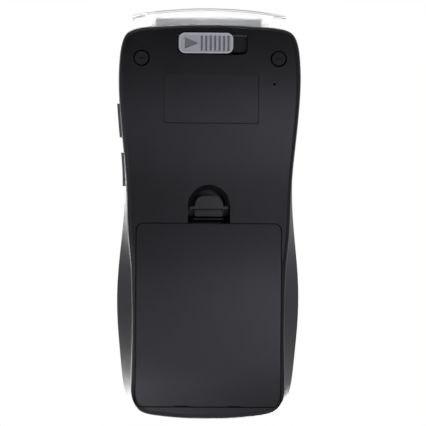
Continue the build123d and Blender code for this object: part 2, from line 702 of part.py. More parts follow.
def lock_slider():
    """The thumb slider on the back, its arrow and ridges cut in."""
    tall = (SLOT_Y - SLIDER_TALL / 2, SLOT_Y + SLIDER_TALL / 2)
    slider = pad_z((SLIDER_LEFT, SLIDER_RIGHT), tall, (SLIDER_Z[0], SLIDER_Z[1]), SLIDER_CORNER)
    inside_x = (SLIDER_LEFT + SLIDER_RIM, SLIDER_RIGHT - SLIDER_RIM)
    inside_y = (tall[0] + SLIDER_RIM, tall[1] - SLIDER_RIM)
    slider -= pad_z(inside_x, inside_y, (SLIDER_Z[0], SLIDER_Z[0] + RIM_DEEP), SLIDER_CORNER - SLIDER_RIM)
    low = SLOT_Y - ARROW_HALF
    high = SLOT_Y + ARROW_HALF
    arrow = [(ARROW_X[0], low), (ARROW_X[0], high), (ARROW_X[1], SLOT_Y)]
    face = Face(Wire(Polyline(*[(a, b, SLIDER_Z[0]) for a, b in arrow], close=True).edges()))
    slider -= extrude(face, RIM_DEEP + MARK_DEEP, dir=(0, 0, 1))
    groove_y = (SLOT_Y - RIDGE_TALL, SLOT_Y + RIDGE_TALL)
    groove_z = (SLIDER_Z[0], SLIDER_Z[0] + RIM_DEEP + MARK_DEEP)
    for i in range(RIDGES):
        x = RIDGE_FIRST - i * RIDGE_PITCH
        slider -= block((x - RIDGE_HALF, x + RIDGE_HALF), groove_y, groove_z)
    return slider


def lock_bar():
    """The dark plate and bar behind the slider, with the arm that holds the media cover down."""
    plate_z = (SLIDER_Z[1], SLIDER_Z[1] + SLIDER_PLATE_THICK)
    base = block(LOCK_BAR_X, LOCK_BAR_Y, LOCK_BAR_Z) + block(SLIDER_PLATE_X, SLIDER_PLATE_Y, plate_z)
    arm = block((LOCK_BAR_X[1] - LOCK_ARM, LOCK_BAR_X[1]), LOCK_BAR_Y, (LOCK_BAR_Z[0], LOCK_TOP))
    nose_x = (LOCK_BAR_X[1] - LOCK_ARM - LOCK_NOSE, LOCK_BAR_X[1] - LOCK_ARM)
    nose = block(nose_x, LOCK_BAR_Y, (LOCK_TOP - LOCK_NOSE_TALL, LOCK_TOP))
    return base + arm + nose


def foot_pads():
    """Two round rubber feet, each with a faint slit."""
    pad = rod_z(FOOT_R, FOOT_X, FOOT_Y, (0, FOOT_WELL_Z - HEAD_TALL - FOOT_HEAD_GAP))
    slit_x = (FOOT_X - FOOT_SLIT_HALF[0], FOOT_X + FOOT_SLIT_HALF[0])
    slit_y = (FOOT_Y - FOOT_SLIT_HALF[1], FOOT_Y + FOOT_SLIT_HALF[1])
    return both_sides(pad - block(slit_x, slit_y, (0, FOOT_SLIT_DEEP)))


def screw(x, y, head_z, tip_z, head_r, shank_r):
    """A pan-head screw driven towards +Z, with a cross recess."""
    body = rod_z(head_r, x, y, head_z) + rod_z(shank_r, x, y, (head_z[1], tip_z))
    reach = head_r * CROSS_REACH
    cross_z = (head_z[0], head_z[0] + CROSS_DEEP)
    body -= block((x - reach, x + reach), (y - CROSS_HALF, y + CROSS_HALF), cross_z)
    return body - block((x - CROSS_HALF, x + CROSS_HALF), (y - reach, y + reach), cross_z)


def case_screws():
    """Four screws: two under the feet and two inside the battery bay."""
    foot_head = (FOOT_WELL_Z - HEAD_TALL, FOOT_WELL_Z)
    bay_head = (LEDGE_Z[0] - HEAD_TALL, LEDGE_Z[0])
    foot = screw(FOOT_X, FOOT_Y, foot_head, BASE_Z[1], HEAD_R, SHANK_R)
    bay = screw(SCREW_X, SCREW_Y, bay_head, POST_HOLE_TOP - 1, HEAD_R, SHANK_R)
    return both_sides(foot + bay)


def reset_switch():
    """The small switch behind the pin-hole."""
    case_x = (RESET_X - RESET_HALF, RESET_X + RESET_HALF)
    case_y = (RESET_Y - RESET_HALF, RESET_Y + RESET_HALF)
    case = block(case_x, case_y, (RESET_Z, RESET_Z + RESET_TALL))
    return case + rod_z(RESET_TIP_R, RESET_X, RESET_Y, (RESET_Z - RESET_TIP, RESET_Z))


def side_key(low, high):
    """One side key, its outer face following the casing."""
    face = outline_prism(-SIDE_KEY_PROUD, SIDE_KEY_Z) & block((0, CASE_REACH), (low, high), SIDE_KEY_Z)
    face -= outline_prism(SIDE_FLANGE[1], SIDE_KEY_Z)
    z = (SIDE_KEY_Z[0] - SIDE_LIP, SIDE_KEY_Z[1] + SIDE_LIP)
    flange = outline_prism(SIDE_FLANGE[0], z) - outline_prism(SIDE_FLANGE[1], z)
    return face + (flange & block((0, CASE_REACH), (low - SIDE_LIP, high + SIDE_LIP), z))


def side_switches():
    """A push switch behind each side key."""
    switches = []
    for low, high in SIDE_KEYS.values():
        y = (low + high) / 2
        face_x = min(x for x, line_y in OUTLINE if low - KEY_REACH < line_y < high + KEY_REACH)
        tip = face_x - SIDE_FLANGE[1] - SWITCH_FREE
        case_end = tip - PLUNGER_LONG
        body = block((SIDE_BOARD_X[1], case_end), (y - SWITCH_HALF, y + SWITCH_HALF), SWITCH_Z)
        switches.append(body + rod_x(PLUNGER_R, (case_end, tip), y, sum(SWITCH_Z) / 2))
    return Part() + switches


def side_switch_board():
    """The little upright board that carries the side switches."""
    return block(SIDE_BOARD_X, SIDE_BOARD_Y, SIDE_BOARD_Z)


def front_key(x, y):
    """One keypad key: a domed cap on a flange that holds it in."""
    half_x = KEY_SIZE[0] / 2
    half_y = KEY_SIZE[1] / 2
    cap = pad_z((x - half_x, x + half_x), (y - half_y, y + half_y), (KEY_BOTTOM, KEY_TOP), KEY_CORNER)
    cap = fillet(cap.faces().sort_by(Axis.Z)[-1].edges(), KEY_EDGE)
    dish = Pos(x, y, KEY_TOP + DISH_R - DISH_DEEP) * Rot(90, 0, 0) * Cylinder(DISH_R, 3 * KEY_SIZE[1])
    cap -= dish
    flange_x = (x - half_x - KEY_LIP, x + half_x + KEY_LIP)
    flange_y = (y - half_y - KEY_LIP, y + half_y + KEY_LIP)
    return cap + block(flange_x, flange_y, (KEY_BOTTOM, KEY_BOTTOM + KEY_FLANGE))


def keypad_mat():
    """The rubber sheet with a dome under each key."""
    mat = pad_z((-MAT_HALF, MAT_HALF), MAT_Y, MAT_Z, MAT_CORNER)
    for x, y in key_places():
        mat += Pos(x, y, MAT_Z[1] + DOME_TALL / 2) * Cone(DOME_R, DOME_TOP_R, DOME_TALL)
    for y in BOARD_SCREW_Y:
        mat -= both_sides(rod_z(BOARD_POST_R + MAT_FIT, BOARD_SCREW_X, y, MAT_Z))
    return mat


def main_board():
    """The main circuit board with its larger chips."""
    board = pad_z((-BOARD_HALF, BOARD_HALF), BOARD_Y, BOARD_Z, BOARD_CORNER)
    board -= both_sides(rod_z(POST_R + POST_FIT, SCREW_X, SCREW_Y, BOARD_Z))
    for y in BOARD_SCREW_Y:
        board -= both_sides(rod_z(BOARD_SCREW_R + BOARD_HOLE_FIT, BOARD_SCREW_X, y, BOARD_Z))
    for x, y, wide, tall in CHIPS:
        chip_z = (BOARD_Z[0] - CHIP_TALL, BOARD_Z[0])
        board += block((x - wide / 2, x + wide / 2), (y - tall / 2, y + tall / 2), chip_z)
    return board


def board_screws():
    """Four small screws that hold the board to the front shell."""
    screws = Part()
    for y in BOARD_SCREW_Y:
        head_z = (BOARD_Z[0] - BOARD_HEAD_TALL, BOARD_Z[0])
        tip_z = BOARD_SCREW_TOP - BOARD_TIP_FREE
        small = screw(BOARD_SCREW_X, y, head_z, tip_z, BOARD_HEAD_R, BOARD_SCREW_R - SHANK_FIT)
        screws += both_sides(small)
    return screws


def display_slab(size, extra, z, corner):
    """A rounded slab lying in the display slope, heights measured from its surface."""
    flat = RectangleRounded(size[0] + 2 * extra, size[1] + 2 * extra, corner)
    return Pos(*DISPLAY_AT) * Rot(DISPLAY_TILT, 0, 0) * Pos(0, 0, z[0]) * extrude(flat, z[1] - z[0])


def display_bezel():
    """The frame around the display."""
    frame = display_slab(DISPLAY_SIZE, 0, BEZEL_Z, BEZEL_CORNER)
    return frame - display_slab(LENS_SIZE, LENS_FIT, BEZEL_Z, HOLE_CORNER)


def display_window():
    """The clear window in the frame."""
    return display_slab(LENS_SIZE, 0, LENS_Z, LENS_CORNER)


def lcd_gasket():
    """The foam ring between window and display."""
    z = (LENS_Z[0] - GASKET_TALL, BEZEL_Z[0] - GASKET_FREE)
    ring = display_slab(MODULE_SIZE, 0, z, MODULE_CORNER)
    return ring - display_slab(MODULE_SIZE, -GASKET_RING, (z[0] - 1, z[1] + 1), MODULE_CORNER)


def lcd_module():
    """The display glass in its carrier."""
    top = LENS_Z[0] - GASKET_TALL
    return display_slab(MODULE_SIZE, 0, (top - MODULE_TALL, top), MODULE_CORNER)


def cell_rows():
    """Where each cell lies along the bay."""
    return [CELL_FIRST + i * CELL_PITCH for i in range(CELLS)]


def battery_tray():
    """The open box that the cells lie in."""
    tray = block((-TRAY_HALF, TRAY_HALF), TRAY_Y, TRAY_Z)
    inside_y = (TRAY_Y[0] + TRAY_WALL, TRAY_Y[1] - TRAY_WALL)
    inside = TRAY_HALF - TRAY_WALL
    tray -= block((-inside, inside), inside_y, (TRAY_Z[0], TRAY_Z[1] - TRAY_WALL))
    for y in cell_rows()[:-1]:
        middle = y + CELL_PITCH / 2
        rib_z = (CELL_Z + RIB_OVER, TRAY_Z[1] - TRAY_WALL)
        tray += block((-CELL_HALF, CELL_HALF), (middle - RIB_HALF, middle + RIB_HALF), rib_z)
    return tray


def battery_cells():
    """Four cells lying across the bay, turned alternately."""
    cells = []
    for i, y in enumerate(cell_rows()):
        side = 1 if i % 2 == 0 else -1
        can = rod_x(CELL_R, (-CELL_HALF, CELL_HALF - NUB_LONG), y, CELL_Z)
        can += rod_x(NUB_R, (CELL_HALF - NUB_LONG, CELL_HALF), y, CELL_Z)
        cells.append(can if side > 0 else mirror(can, Plane.YZ))
    return Part() + cells


def battery_contacts():
    """The flat contact plates at both ends of the cells."""
    inside = TRAY_HALF - TRAY_WALL
    plates = []
    for i, y in enumerate(cell_rows()):
        side = 1 if i % 2 == 0 else -1
        plate_y = (y - PLATE_HALF, y + PLATE_HALF)
        plate_z = (CELL_Z - PLATE_HALF, CELL_Z + PLATE_HALF)
        plate = block((inside - PLATE_THICK, inside), plate_y, plate_z)
        bump = rod_x(BUMP_R, (CELL_HALF + BUMP_FREE, inside - PLATE_THICK), y, CELL_Z)
        near = plate + bump
        plates.append(near if side > 0 else mirror(near, Plane.YZ))
        plates.append(mirror(plate, Plane.YZ) if side > 0 else plate)
    return Part() + plates


def coil(radius, wire, pitch, tall):
    """A round-wire coil spring standing on the ground plane."""
    path = Helix(pitch, tall - 2 * wire, radius)
    start = path @ 0
    section = Plane(start, z_dir=path % 0) * Circle(wire)
    return Pos(0, 0, wire) * sweep(section, path=path, is_frenet=True)


def battery_springs():
    """The springs at the cells' flat ends."""
    inside = TRAY_HALF - TRAY_WALL - PLATE_THICK
    tall = inside - CELL_HALF
    springs = []
    for i, y in enumerate(cell_rows()):
        spring = coil(SPRING_R, SPRING_WIRE, SPRING_PITCH, tall - SPRING_FREE)
        if i % 2 == 0:
            springs.append(Pos(-inside + SPRING_FREE / 2, y, CELL_Z) * Rot(0, 90, 0) * spring)
        else:
            springs.append(Pos(inside - SPRING_FREE / 2, y, CELL_Z) * Rot(0, -90, 0) * spring)
    return Part() + springs


def gear_place(centre, radius, angle):
    """A gear centre in Y and Z, at a distance and angle from another."""
    return (
        centre[0] + radius * math.cos(math.radians(angle)),
        centre[1] + radius * math.sin(math.radians(angle)),
    )


def gear(teeth, centre, phase, bore):
    """A spur gear turning about X, one tooth at the phase angle."""
    pitch_r = MODULE * teeth / 2
    half_pitch = (math.pi * MODULE / 2 - BACKLASH) / 2
    tip_r = pitch_r + TOOTH_OVER * MODULE
    root_r = pitch_r - TOOTH_UNDER * MODULE
    rows = [(root_r - TOOTH_SINK, half_pitch + TOOTH_FOOT), (root_r, half_pitch + TOOTH_ROOT)]
    rows.append((tip_r, half_pitch - TOOTH_TIP))
    wheel = Cylinder(root_r, GEAR_X[1] - GEAR_X[0])
    points = [(r, w) for r, w in rows] + [(r, -w) for r, w in reversed(rows)]
    flat = Face(Wire(Polyline(*[(a, b, 0) for a, b in points], close=True).edges()))
    tooth = Pos(0, 0, -(GEAR_X[1] - GEAR_X[0]) / 2) * extrude(flat, GEAR_X[1] - GEAR_X[0], dir=(0, 0, 1))
    turns = [Rot(0, 0, phase + i * 360 / teeth) * tooth for i in range(teeth)]
    wheel = wheel + turns
    wheel -= Cylinder(bore, 2 * (GEAR_X[1] - GEAR_X[0]))
    middle = ((GEAR_X[0] + GEAR_X[1]) / 2, centre[0], centre[1])
    return Plane(middle, x_dir=(0, 1, 0), z_dir=(1, 0, 0)) * wheel


def meshing_phase(angle, driver_teeth, driver_phase, teeth):
    """The phase that puts this gear's gap on the driver's tooth, seen along the line of centres."""
    driver_part = (angle - driver_phase) * driver_teeth / 360
    return angle + 180 - (0.5 - driver_part) * 360 / teeth


IDLER_AT = gear_place(PLATEN_AT, MODULE * (IDLER_TEETH + PLATEN_TEETH) / 2, IDLER_ANGLE)
PINION_AT = gear_place(IDLER_AT, MODULE * (IDLER_TEETH + PINION_TEETH) / 2, PINION_ANGLE)
IDLER_PHASE = IDLER_ANGLE - 180


def idler_gear():
    """The large gear between motor and platen."""
    return gear(IDLER_TEETH, IDLER_AT, IDLER_PHASE, STUB_R + SHAFT_FIT)


def platen_gear():
    """The gear on the platen's shaft."""
    phase = meshing_phase(IDLER_ANGLE - 180, IDLER_TEETH, IDLER_PHASE, PLATEN_TEETH)
    return gear(PLATEN_TEETH, PLATEN_AT, phase, SHAFT_R)


def motor_pinion():
    """The motor's small gear and its shaft."""
    phase = meshing_phase(PINION_ANGLE, IDLER_TEETH, IDLER_PHASE, PINION_TEETH)
    shaft = rod_x(MOTOR_SHAFT_R, (MOTOR_X[0] + MOTOR_SHAFT_IN, GEAR_X[1]), *PINION_AT)
    return gear(PINION_TEETH, PINION_AT, phase, MOTOR_SHAFT_R / 2) + shaft


def drive_motor():
    """The flat stepper motor on its flange and standoffs."""
    y, z = PINION_AT
    motor = rod_x(MOTOR_R, MOTOR_X, y, z)
    flange_x = (MOTOR_X[1] - FLANGE_THICK, MOTOR_X[1])
    flange_y = (y + MOTOR_FLANGE_Y[0], y + MOTOR_FLANGE_Y[1])
    motor += block(flange_x, flange_y, (z + MOTOR_FLANGE_Z[0], z + MOTOR_FLANGE_Z[1]))
    for dy, dz in STANDOFFS:
        motor += rod_x(STANDOFF_R, (flange_x[0], -SIDE_X[1]), y + dy, z + dz)
    return motor - rod_x(MOTOR_SHAFT_R + SHAFT_FIT, (MOTOR_X[0] + MOTOR_BORE_IN, MOTOR_X[1] + 1), y, z)


def platen_shaft():
    """The platen's steel shaft."""
    return rod_x(SHAFT_R, (GEAR_X[0] - SHAFT_ENDS[0], ARM_X[1] + SHAFT_ENDS[1]), *PLATEN_AT)


def platen_roller():
    """The rubber sleeve that drives the labels."""
    sleeve = rod_x(PLATEN_R, (-PLATEN_HALF, PLATEN_HALF), *PLATEN_AT)
    return sleeve - rod_x(SHAFT_R, (-PLATEN_HALF, PLATEN_HALF), *PLATEN_AT)


def print_chassis():
    """The moulded frame that holds the roll, the head and the gear train."""
    chassis = both_sides(side_plate(CHASSIS_PLATE, SIDE_X))
    chassis += block((-SIDE_X[1], SIDE_X[1]), BASE_Y, BASE_Z)
    chassis += both_sides(pad_z((SIDE_X[0], EAR_X), EAR_Y, BASE_Z, EAR_CORNER))
    chassis -= both_sides(rod_z(SHANK_R + SHANK_FIT, FOOT_X, FOOT_Y, BASE_Z))
    slot_x = (CABLE_X[0] - CABLE_SLOT_FREE, CABLE_X[1] + CABLE_SLOT_FREE)
    chassis -= block(slot_x, (CABLE_UP_Y - CABLE_SLOT_FREE, CABLE_UP_Y + CABLE_SLOT_LONG), BASE_Z)
    chassis += rod_x(STUB_R, (GEAR_X[0] - STUB_PROUD, -SIDE_X[0]), *IDLER_AT)
    return chassis + both_sides(rod_z(GUIDE_R, GUIDE_X, PLATEN_AT[0], (BASE_Z[0], GUIDE_TOP)))


def print_head():
    """The thermal head on its heat sink."""
    y = PLATEN_AT[0]
    sink = block((-HEAD_HALF, HEAD_HALF), (y + HEAD_SINK_Y[0], y + HEAD_SINK_Y[1]), HEAD_Z)
    strip_half = HEAD_HALF - HEAD_STRIP_INSET
    strip_y = (y + HEAD_STRIP_Y[0], y + HEAD_STRIP_Y[1])
    strip = block((-strip_half, strip_half), strip_y, (HEAD_Z[1], HEAD_TOP))
    holes = both_sides(rod_z(GUIDE_R + GUIDE_FIT, GUIDE_X, y, (HEAD_Z[0], GUIDE_TOP + GUIDE_HOLE_OVER)))
    return sink + strip - holes


def head_springs():
    """The two springs that press the head up."""
    tall = HEAD_Z[0] - BASE_Z[1]
    spring = coil(GUIDE_R + HEAD_SPRING_OUT, HEAD_SPRING_WIRE, HEAD_SPRING_PITCH, tall - SPRING_FREE)
    return both_sides(Pos(GUIDE_X, PLATEN_AT[0], BASE_Z[1] + SPRING_FREE / 2) * spring)


def head_cable():
    """The flat cable from the head, under the roll, to the main board."""
    up = block(CABLE_X, (CABLE_UP_Y, CABLE_UP_Y + CABLE_THICK), (CABLE_Z, HEAD_Z[1]))
    along = block(CABLE_X, (CABLE_DOWN_Y, CABLE_UP_Y + CABLE_THICK), (CABLE_Z, CABLE_Z + CABLE_THICK))
    plug_z = (BOARD_Z[0], BOARD_Z[0] + CABLE_PLUG_TALL)
    down = block(CABLE_X, (CABLE_DOWN_Y, CABLE_DOWN_Y + CABLE_THICK), (CABLE_Z, plug_z[1]))
    plug = block(CABLE_X, (BOARD_Y[1], CABLE_DOWN_Y + CABLE_THICK), plug_z)
    return up + along + down + plug


def roll_holders():
    """The two hubs that the roll turns on."""
    hub = rod_x(CORE_BORE - CORE_FIT, (HUB_IN, SIDE_X[0]), *ROLL_AT)
    return both_sides(hub + rod_x(HUB_FLANGE_R, (CORE_HALF + HUB_FREE, SIDE_X[0]), *ROLL_AT))


def label_roll():
    """The wound labels."""
    roll = rod_x(ROLL_R, (-ROLL_HALF, ROLL_HALF), *ROLL_AT)
    return roll - rod_x(CORE_R, (-ROLL_HALF, ROLL_HALF), *ROLL_AT)


def roll_core():
    """The card tube in the roll."""
    tube = rod_x(CORE_R, (-CORE_HALF, CORE_HALF), *ROLL_AT)
    return tube - rod_x(CORE_BORE, (-CORE_HALF, CORE_HALF), *ROLL_AT)


def label_web():
    """The strip of labels from the roll, under the platen, to the outlet."""
    low = WEB_Z - WEB_THICK / 2
    high = WEB_Z + WEB_THICK / 2
    y, z = WEB_START
    over = [(y, z), (WEB_BEND, high), (WEB_END, high)]
    under = [(WEB_END, low), (WEB_BEND - WEB_BEND_BACK, low), (y - WEB_START_BACK[0], z - WEB_START_BACK[1])]
    return side_plate(over + under, (-ROLL_HALF, ROLL_HALF))


def build_all():
    """Every node by name."""
    whole = casing(0)
    skin = whole - casing(WALL)
    nodes = {
        "rear_shell": rear_shell(skin, whole),
        "front_shell": front_shell(skin),
        "media_cover": media_cover(skin),
        "cover_pane": cover_pane(skin),
        "cover_hinge_pins": cover_hinge_pins(),
        "label_outlet_hood": label_outlet_hood(),
        "tear_bar": tear_bar(),
        "battery_door": battery_door(skin),
        "battery_door_latch": battery_door_latch(),
        "lock_slider": lock_slider(),
        "lock_bar": lock_bar(),
        "foot_pads": foot_pads(),
        "case_screws": case_screws(),
        "reset_switch": reset_switch(),
        "side_switches": side_switches(),
        "side_switch_board": side_switch_board(),
        "keypad_mat": keypad_mat(),
        "main_board": main_board(),
        "board_screws": board_screws(),
        "display_bezel": display_bezel(),
        "display_window": display_window(),
        "lcd_gasket": lcd_gasket(),
        "lcd_module": lcd_module(),
        "battery_tray": battery_tray(),
        "battery_cells": battery_cells(),
        "battery_contacts": battery_contacts(),
        "battery_springs": battery_springs(),
        "idler_gear": idler_gear(),
        "platen_gear": platen_gear(),
        "motor_pinion": motor_pinion(),
        "drive_motor": drive_motor(),
        "platen_shaft": platen_shaft(),
        "platen_roller": platen_roller(),
        "print_chassis": print_chassis(),
        "print_head": print_head(),
        "head_springs": head_springs(),
        "head_cable": head_cable(),
        "roll_holders": roll_holders(),
        "label_roll": label_roll(),
        "roll_core": roll_core(),
        "label_web": label_web(),
    }
    for name, (low, high) in SIDE_KEYS.items():
        nodes[name] = side_key(low, high)
    for number, (x, y) in enumerate(key_places(), start=1):
        nodes[f"front_key_{number:02d}"] = front_key(x, y)
    return nodes


os.makedirs("parts", exist_ok=True)
for name, shape in build_all().items():
    export_step(shape, f"parts/{name}.step")
print("written")
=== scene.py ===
import math

import bpy
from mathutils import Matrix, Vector
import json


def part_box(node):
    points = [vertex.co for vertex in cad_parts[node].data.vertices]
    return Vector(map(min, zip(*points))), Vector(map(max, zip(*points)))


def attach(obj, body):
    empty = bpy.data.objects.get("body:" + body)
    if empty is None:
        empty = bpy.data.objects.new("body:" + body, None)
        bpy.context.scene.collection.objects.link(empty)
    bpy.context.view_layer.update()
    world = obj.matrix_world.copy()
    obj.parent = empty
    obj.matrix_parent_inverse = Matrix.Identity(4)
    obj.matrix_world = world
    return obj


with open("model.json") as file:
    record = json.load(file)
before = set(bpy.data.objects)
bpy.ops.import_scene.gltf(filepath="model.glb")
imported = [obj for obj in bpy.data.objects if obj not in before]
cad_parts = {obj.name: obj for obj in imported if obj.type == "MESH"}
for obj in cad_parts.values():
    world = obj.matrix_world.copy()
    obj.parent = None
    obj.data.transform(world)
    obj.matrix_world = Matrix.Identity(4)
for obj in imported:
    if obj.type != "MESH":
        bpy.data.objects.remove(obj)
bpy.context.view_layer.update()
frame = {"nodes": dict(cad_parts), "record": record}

nodes = frame["nodes"]
scene = bpy.context.scene
print("frame loaded:", len(nodes), "nodes")


# helpers for shader trees

bumpDepths = {"wave": 0.0004, "grain": 0.00006, "brush": 0.00003, "fibre": 0.00004}
noiseMiddle = (0.25, 0.75)    # the part of a noise's range that is used
bevelSamples = 4
# ambient occlusion settings for the painted shade in gaps; dark scales the shaded colour, rough the dullness
openSettings = {"samples": 4, "open": 0.75, "shut": 0.42, "dark": 0.3, "rough": 0.95}
cloudStops = (0.32, 0.68)
speckStops = {"low": 0.40, "high": 0.62, "dim": (0.86, 0.86, 0.86), "lit": (1.10, 1.10, 1.10), "amount": 0.8}
edgeStops = (0.3, 0.7)


def newTree(name):
    material = bpy.data.materials.new(name)
    material.use_nodes = True
    tree = material.node_tree
    shader = tree.nodes["Principled BSDF"]
    return material, tree, shader


def link(tree, a, output, b, entry):
    tree.links.new(a.outputs[output], b.inputs[entry])


def objectPoint(tree):
    return tree.nodes.new("ShaderNodeTexCoord")


def noise(tree, source, scale, detail=3.0, rough=0.55):
    node = tree.nodes.new("ShaderNodeTexNoise")
    node.inputs["Scale"].default_value = scale
    node.inputs["Detail"].default_value = detail
    node.inputs["Roughness"].default_value = rough
    tree.links.new(source.outputs["Object"], node.inputs["Vector"])
    return node


def ramp(tree, source, stops, output="Fac"):
    node = tree.nodes.new("ShaderNodeValToRGB")
    tree.links.new(source.outputs[output], node.inputs["Fac"])
    elements = node.color_ramp.elements
    while len(elements) < len(stops):
        elements.new(0.5)
    for element, (place, color) in zip(elements, stops):
        element.position = place
        element.color = (*color, 1.0) if len(color) == 3 else color
    return node


def mapRange(tree, source, low, high, output="Fac"):
    node = tree.nodes.new("ShaderNodeMapRange")
    node.inputs["From Min"].default_value = noiseMiddle[0]
    node.inputs["From Max"].default_value = noiseMiddle[1]
    node.inputs["To Min"].default_value = low
    node.inputs["To Max"].default_value = high
    tree.links.new(source.outputs[output], node.inputs["Value"])
    return node


def mixColor(tree, factor, first, second, mode="MIX", amount=None):
    node = tree.nodes.new("ShaderNodeMix")
    node.data_type = "RGBA"
    node.blend_type = mode
    if factor is not None:
        tree.links.new(factor, node.inputs[0])
    else:
        node.inputs[0].default_value = amount
    for value, entry in ((first, 6), (second, 7)):
        if isinstance(value, tuple):
            node.inputs[entry].default_value = (*value, 1.0)
        else:
            tree.links.new(value, node.inputs[entry])
    return node.outputs[2]


def mathNode(tree, operation, first, second=None):
    node = tree.nodes.new("ShaderNodeMath")
    node.operation = operation
    for value, entry in ((first, 0), (second, 1)):
        if value is None:
            continue
        if isinstance(value, (int, float)):
            node.inputs[entry].default_value = value
        else:
            tree.links.new(value, node.inputs[entry])
    return node.outputs[0]


def axisValue(tree, source, axis):
    node = tree.nodes.new("ShaderNodeSeparateXYZ")
    tree.links.new(source.outputs["Object"], node.inputs[0])
    return node.outputs[axis]


def grainBump(tree, shader, source, sizes, edge=0.0):
    # fine spark grain over a slow waviness, on top of softened edges
    fine = noise(tree, source, sizes["grain"], detail=4.0, rough=0.6)
    slow = noise(tree, source, sizes["wave"], detail=2.0, rough=0.5)
    low = tree.nodes.new("ShaderNodeBump")
    low.inputs["Strength"].default_value = sizes["waveStrength"]
    low.inputs["Distance"].default_value = bumpDepths["wave"]
    link(tree, slow, "Fac", low, "Height")
    top = tree.nodes.new("ShaderNodeBump")
    top.inputs["Strength"].default_value = sizes["grainStrength"]
    top.inputs["Distance"].default_value = bumpDepths["grain"]
    link(tree, fine, "Fac", top, "Height")
    link(tree, low, "Normal", top, "Normal")
    if edge > 0:
        soft = tree.nodes.new("ShaderNodeBevel")
        soft.samples = bevelSamples
        soft.inputs["Radius"].default_value = edge
        link(tree, soft, "Normal", low, "Normal")
    link(tree, top, "Normal", shader, "Normal")
    return fine


# plastics

casingLook = {"grain": 3000.0, "wave": 26.0, "grainStrength": 0.30, "waveStrength": 0.01,
              "dark": (0.0072, 0.0070, 0.0085), "light": (0.0098, 0.0096, 0.0115),
              "roughLow": 0.37, "roughHigh": 0.42, "edge": 0.0003, "crevice": 0.0035}


def mapOpen(tree, openness):
    # 0 on an open face, 1 deep in a gap
    node = tree.nodes.new("ShaderNodeMapRange")
    node.inputs["From Min"].default_value = openSettings["open"]
    node.inputs["From Max"].default_value = openSettings["shut"]
    tree.links.new(openness, node.inputs["Value"])
    return node.outputs["Result"]


def plastic(name, look):
    material, tree, shader = newTree(name)
    point = objectPoint(tree)
    fine = grainBump(tree, shader, point, look, look.get("edge", 0.0))
    cloud = noise(tree, point, look.get("cloud", 45.0), detail=4.0, rough=0.6)
    tint = ramp(tree, cloud, list(zip(cloudStops, (look["dark"], look["light"]))))
    stops = [(speckStops["low"], speckStops["dim"]), (speckStops["high"], speckStops["lit"])]
    speck = ramp(tree, fine, stops)
    shade = mixColor(tree, None, tint.outputs["Color"], speck.outputs["Color"], "MULTIPLY",
                     speckStops["amount"])
    smudge = noise(tree, point, look.get("smudge", 90.0), detail=5.0, rough=0.65)
    rough = mapRange(tree, smudge, look["roughLow"], look["roughHigh"]).outputs["Result"]
    if "crevice" in look:
        # painted shade: slots, wells and gaps are darkened in the colour by ambient occlusion, and made
        # duller than the open face
        occlusion = tree.nodes.new("ShaderNodeAmbientOcclusion")
        occlusion.samples = openSettings["samples"]
        occlusion.inputs["Distance"].default_value = look["crevice"]
        shut = mapOpen(tree, occlusion.outputs["AO"])
        # painted shade: the colour goes towards a near-black copy of the plastic deep in a gap
        shade = mixColor(tree, shut, shade, tuple(c * openSettings["dark"] for c in look["dark"]))
        dull = mathNode(tree, "MULTIPLY", shut, openSettings["rough"])
        rough = mathNode(tree, "MAXIMUM", rough, dull)
    tree.links.new(shade, shader.inputs["Base Color"])
    tree.links.new(rough, shader.inputs["Roughness"])
    return material


metalLook = {"dim": 0.82, "roughLow": 0.8, "roughHigh": 1.3, "bump": 0.15, "detail": 4.0}


def metal(name, color, rough, scale=900.0, stretch=(1.0, 1.0, 1.0)):
    material, tree, shader = newTree(name)
    point = objectPoint(tree)
    place = tree.nodes.new("ShaderNodeMapping")
    place.inputs["Scale"].default_value = stretch
    link(tree, point, "Object", place, "Vector")
    brush = tree.nodes.new("ShaderNodeTexNoise")
    brush.inputs["Scale"].default_value = scale
    brush.inputs["Detail"].default_value = metalLook["detail"]
    link(tree, place, "Vector", brush, "Vector")
    tint = ramp(tree, brush, list(zip(edgeStops, (tuple(c * metalLook["dim"] for c in color), color))))
    link(tree, tint, "Color", shader, "Base Color")
    value = mapRange(tree, brush, rough * metalLook["roughLow"], rough * metalLook["roughHigh"])
    link(tree, value, "Result", shader, "Roughness")
    bump = tree.nodes.new("ShaderNodeBump")
    bump.inputs["Strength"].default_value = metalLook["bump"]
    bump.inputs["Distance"].default_value = bumpDepths["brush"]
    link(tree, brush, "Fac", bump, "Height")
    link(tree, bump, "Normal", shader, "Normal")
    shader.inputs["Metallic"].default_value = 1.0
    return material


hoodLook = {"tint": (0.985, 0.988, 0.99), "dim": 0.97, "clear": 0.92, "bend": 1.14, "rough": 0.34,
            "roughSpread": 0.08, "grain": 900.0}


def milkyHood():
    # frosted clear plastic: most light passes, softly scattered
    material, tree, shader = newTree("milkyHood")
    point = objectPoint(tree)
    frost = noise(tree, point, hoodLook["grain"], detail=4.0, rough=0.6)
    dim = tuple(c * hoodLook["dim"] for c in hoodLook["tint"])
    tint = ramp(tree, frost, list(zip(edgeStops, (dim, hoodLook["tint"]))))
    link(tree, tint, "Color", shader, "Base Color")
    spread = hoodLook["roughSpread"]
    rough = mapRange(tree, frost, hoodLook["rough"] * (1 - spread), hoodLook["rough"] * (1 + spread))
    link(tree, rough, "Result", shader, "Roughness")
    shader.inputs["Transmission Weight"].default_value = hoodLook["clear"]
    shader.inputs["IOR"].default_value = hoodLook["bend"]
    return material


paneLook = {"haze": 300.0, "rough": (0.03, 0.12), "dark": (0.80, 0.84, 0.86), "light": (0.90, 0.93, 0.94),
            "clear": 0.92, "bend": 1.46}


